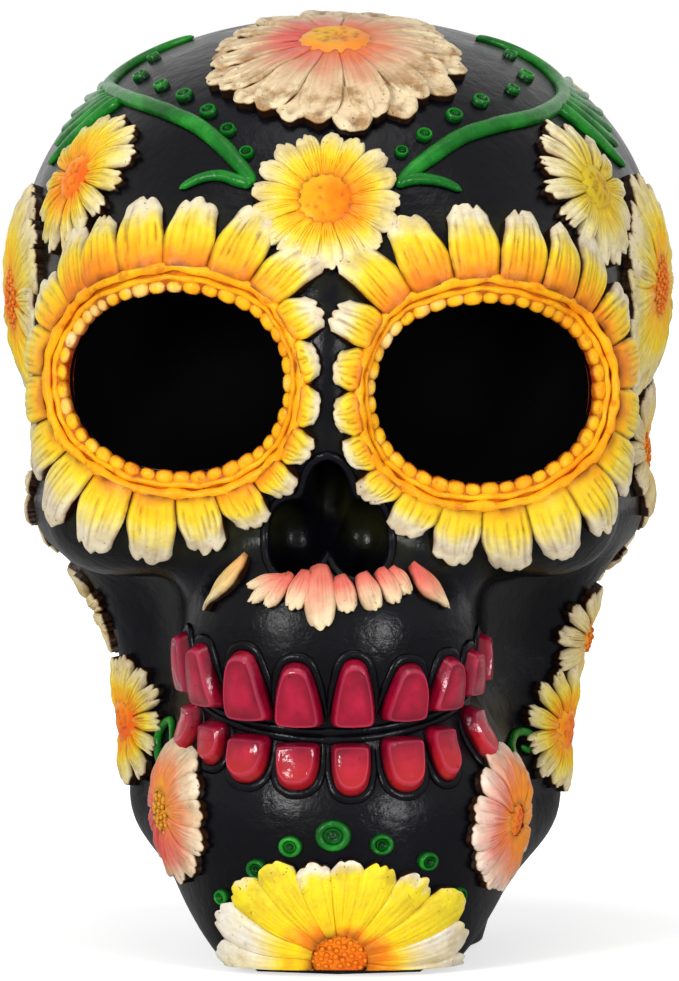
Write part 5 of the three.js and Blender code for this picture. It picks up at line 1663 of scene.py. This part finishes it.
# The ridge along one side of the mouth line
def mouth_ridge(offset):
    angles = np.linspace(-82, 86, MOUTH_STEPS)
    middle = np.repeat(place((0, jaw_middle_share, 0))[None], len(angles), axis=0)
    middle[:, 2] = place((0, 0, mouth_share))[2] + SMILE_RISE * (1 - np.cos(np.radians(angles))) + offset
    points = skin_along(middle, aim(angles, np.zeros(len(angles))))
    normals = skin_normal(points)
    thickness = (0.85 + 0.12 * np.sin(angles / 4)) * np.sqrt(np.cos(np.radians(angles - 2)) + 0.02)
    return {"points": points + RIDGE_LIFT * normals, "outward": normals, "thickness": thickness}


def make_teeth():
    seats = tooth_seats()
    charts = make_charts([tooth["point"] for tooth in seats], TOOTH_CHART_REACH, SMALL_CHART_COLUMNS)
    arches = {name: [] for name in tooth_rows}
    for tooth, chart in zip(seats, charts):
        casting = Casting()
        add_tooth(casting, chart, tooth, seed_of(tooth["name"]))
        fit(casting.piece(f"{tooth['name']}_casting", crimson), "crimson_paint", tooth["name"])
        arches[tooth["row"]].append(gum_path(chart, tooth))
    for name, row in tooth_rows.items():
        paths = arches[name] + [mouth_ridge(row["way"] * MOUTH_RIDGE_OFFSET)]
        fit(run_beads(f"{name}_gum_arches", paths, GUM_WIDTH, GUM_HEIGHT, resin), "black_resin", row["node"])


# Moustache

# A petal that grows straight from its seat. A leaf is pointed at both ends.
def add_root_petal(casting, chart, angle, long, half, is_leaf, chance):
    _, reach, tip, _, height, guides = petal_relief(petal_looks["moustache"], chance, ROOT_PETAL_COLUMNS,
                                                    ROOT_PETAL_ROWS)
    across = np.linspace(-1, 1, ROOT_PETAL_COLUMNS)[None, :]
    swell = 0.6 + 0.4 * np.sin(math.pi * np.clip(reach * 0.8, 0, 1))
    if is_leaf:
        swell = np.sin(math.pi * np.clip(0.08 + 0.86 * reach, 0, 1))
    along, aside = long * reach * tip, across * half * swell
    if is_leaf:
        aside = aside + 0.09 * long * np.sin(math.pi * reach) * (1 if math.cos(angle) < 0 else -1)
    lay_petal(casting, chart, angle + np.arctan2(aside, along + 1e-6), np.hypot(along, aside),
              height - LEAF_EDGE_DROP * np.abs(across) ** 3, {**guides, "blush": 0.5 * (1 - reach)})


def make_moustache():
    plans = [(share, "moustache_petals") for share in moustache_shares]
    plans += [(share, f"moustache_leaf_{side}") for side, share in moustache_leaf_shares.items()]
    seats = [skin_along(place((share["root"][0], jaw_middle_share, share["root"][1])), FACEWARD)
             for share, _ in plans]
    castings = {}
    for (share, name), chart in zip(plans, make_charts(seats, MOUSTACHE_CHART_REACH, SMALL_CHART_COLUMNS)):
        casting, chance = castings.setdefault(name, Casting()), seed_of(f"{name} {share['root']}")
        across = (share["tip"][0] - share["root"][0]) * SKULL_WIDTH
        along = (share["tip"][1] - share["root"][1]) * SKULL_HEIGHT
        add_root_petal(casting, chart, math.atan2(along, across), math.hypot(across, along),
                       share["width"] * MOUSTACHE_PETAL_WIDTH / 2, name != "moustache_petals", chance)
    for name, casting in castings.items():
        paint = petal_paints["pale" if name == "moustache_leaf_left" else "moustache"]
        fit(casting.piece(f"{name}_casting", paint), "rose_paint", name)


# Vines, curls and dots

# A vine narrows along its route, from its first width by the fall, and more so at the ends of a stem
def vine_path(route, radius, first, fall):
    points, normals = route_line(route)
    share = np.linspace(0, 1, len(points))
    rounded = np.sqrt(1 - np.abs(2 * share - 1) ** (len(points) / 3) * 0.98)
    return {"points": points + VINE_LIFT * normals, "outward": normals,
            "thickness": radius * rounded * (first - fall * share)}


def stem_path(route):
    path = vine_path(route, VINE_RADIUS, 1, 0)
    share = np.linspace(0, 1, len(path["points"]))
    path["thickness"] = path["thickness"] * np.minimum(1, 0.5 + 2.2 * np.minimum(share + 0.12, 1 - share))
    return path


def make_vines():
    for side in sockets:
        paths = [stem_path(vine_routes[side]), vine_path(branch_routes[side], BRANCH_RADIUS, 1.15, 0.5)]
        paths += [vine_path(route, FROND_RADIUS, 1.1, 0.6) for route in frond_routes[side]]
        fit(run_beads(f"vine_{side}_casting", paths, 1, VINE_FLATNESS, green, VINE_SIDES),
            "green_paint", f"vine_{side}")
        curl = [vine_path(curl_routes[side], CURL_RADIUS, 1.1, 0.4)]
        fit(run_beads(f"jaw_curl_{side}_casting", curl, 1, CURL_FLATNESS, green),
            "green_paint", f"jaw_curl_{side}")


# A button with a rim and a dimple, one unit wide
def button(name):
    shape, turns = bmesh.new(), [2 * math.pi * step / BUTTON_SIDES for step in range(BUTTON_SIDES)]
    rings = [[shape.verts.new((far * math.cos(turn), far * math.sin(turn), high)) for turn in turns]
             for far, high in button_shares[1:]]
    middle, root = [shape.verts.new((0, 0, high)) for _, high in (button_shares[0], button_shares[-1])]
    for step in range(BUTTON_SIDES):
        beside = (step + 1) % BUTTON_SIDES
        shape.faces.new((middle, rings[0][step], rings[0][beside]))
        for inner, outer in zip(rings, rings[1:]):
            shape.faces.new((inner[step], outer[step], outer[beside], inner[beside]))
        shape.faces.new((root, rings[-1][beside], rings[-1][step]))
    mesh = mesh_of(name, shape)
    # The dimple and the foot get a dip guide, which the paint darkens as painted shade
    write_guide(mesh, "dip", [min(max((0.85 - vertex.co.z) / 0.3, 0.0), 1.0) for vertex in mesh.vertices])
    mesh.shade_smooth()
    return linked(name, mesh)


def set_dots(name, shares, radius, height, node):
    points = skin_along(core, np.array([aim(bearing, rise) for bearing, rise, _ in shares]))
    normals = skin_normal(points)
    level, _ = level_and_uphill(normals)
    size = np.array([share for _, _, share in shares])[:, None] * radius
    proportions = np.concatenate([size * 1.08, size * 0.95, np.full_like(size, height)], axis=1)
    fit(set_copies(name, button("dot"), points, normals, level, proportions, green), "green_paint", node)


def make_dots():
    set_dots("vine_dots", vine_dot_shares, VINE_DOT_RADIUS, VINE_DOT_HEIGHT, "cranium")
    for index, share in enumerate(chin_dot_shares):
        name = f"chin_dot_{index + 1}"
        set_dots(f"{name}_casting", [share], CHIN_DOT_RADIUS, CHIN_DOT_HEIGHT, name)


# Nose rim

# Where the nose hollow's edge crosses the skin, found by halving the room between in and out
def nose_edge():
    middle = place(nose_middle_share)
    middle[1] = place((0, nose_inside_share, 0))[1]
    angles = even_turns(NOSE_COLUMNS)
    low, high = np.zeros(NOSE_COLUMNS), np.full(NOSE_COLUMNS, NOSE_SEARCH_REACH)
    for _ in range(NOSE_TRIES):
        reach = (low + high) / 2
        points = skin_along(middle + upright_ring(angles, reach, reach), FACEWARD)
        level = np.min([lump_level(points, lump) for lump in nose_lumps], axis=0)
        low, high = np.where(level < 1, reach, low), np.where(level < 1, high, reach)
    return points, skin_normal(points)


def make_nose_rim():
    points, normals = nose_edge()
    path = {"points": points + RIDGE_LIFT * normals, "outward": normals, "thickness": np.ones(len(points)),
            "closed": True}
    rim = run_beads("nose_rim", [path], NOSE_RIM_WIDTH, NOSE_RIM_HEIGHT, resin, NOSE_RIM_SIDES)
    fit(rim, "black_resin", "cranium")


# Scene

def dress_felt():
    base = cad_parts["felt_base"]
    base.data.materials.clear()
    base.data.materials.append(felt)


def make_floor():
    shape = bmesh.new()
    bmesh.ops.create_grid(shape, x_segments=1, y_segments=1, size=FLOOR_REACH * MM)
    mesh = mesh_of("studio_floor", shape)
    mesh.materials.append(floor_paper())
    linked("studio_floor", mesh)


def add_lamp(name, spot, size, power):
    lamp = bpy.data.lights.new(name, "AREA")
    lamp.shape, lamp.size, lamp.energy = "SQUARE", size, power
    item = linked(name, lamp)
    item.location = spot
    item.rotation_euler = (Vector(LAMP_TARGET) - Vector(spot)).to_track_quat("-Z", "Y").to_euler()


def light_studio():
    for name, lamp in studio_lamps.items():
        add_lamp(name, *lamp)
    world = bpy.data.worlds.new("studio air")
    bpy.context.scene.world = world
    world.use_nodes = True
    air = Nodes(world.node_tree)
    sky = world.node_tree.nodes["Background"].inputs
    sky["Color"].default_value = WHITE
    rays, strength = air.node("ShaderNodeLightPath"), AIR_LIGHT
    for kind in ("Is Camera Ray", "Is Glossy Ray", "Is Transmission Ray"):
        strength = air.node("ShaderNodeMath", {0: rays[kind], 1: strength}, operation="MAXIMUM")["Value"]
    air.plug(strength, sky["Strength"])


def add_camera():
    lens = bpy.data.cameras.new("photo camera")
    lens.sensor_fit, lens.sensor_height = "VERTICAL", SENSOR_HEIGHT
    lens.lens = FOCAL_PIXELS * SENSOR_HEIGHT / PICTURE_HEIGHT
    camera = linked("photo camera", lens)
    flat = math.cos(CAMERA_RISE)
    away = Vector((math.sin(CAMERA_BEARING) * flat, -math.cos(CAMERA_BEARING) * flat, math.sin(CAMERA_RISE)))
    camera.location = CAMERA_TARGET + CAMERA_DISTANCE * away
    camera.rotation_euler = (-away).to_track_quat("-Z", "Y").to_euler()
    bpy.context.scene.camera = camera


add_camera()
skull_castings()
make_nose_rim()
make_flowers()
for side_name, socket in sockets.items():
    make_wreath(side_name, socket)
make_teeth()
make_moustache()
make_vines()
make_dots()
dress_felt()
make_floor()
light_studio()
bpy.context.scene.view_settings.view_transform = "Standard"
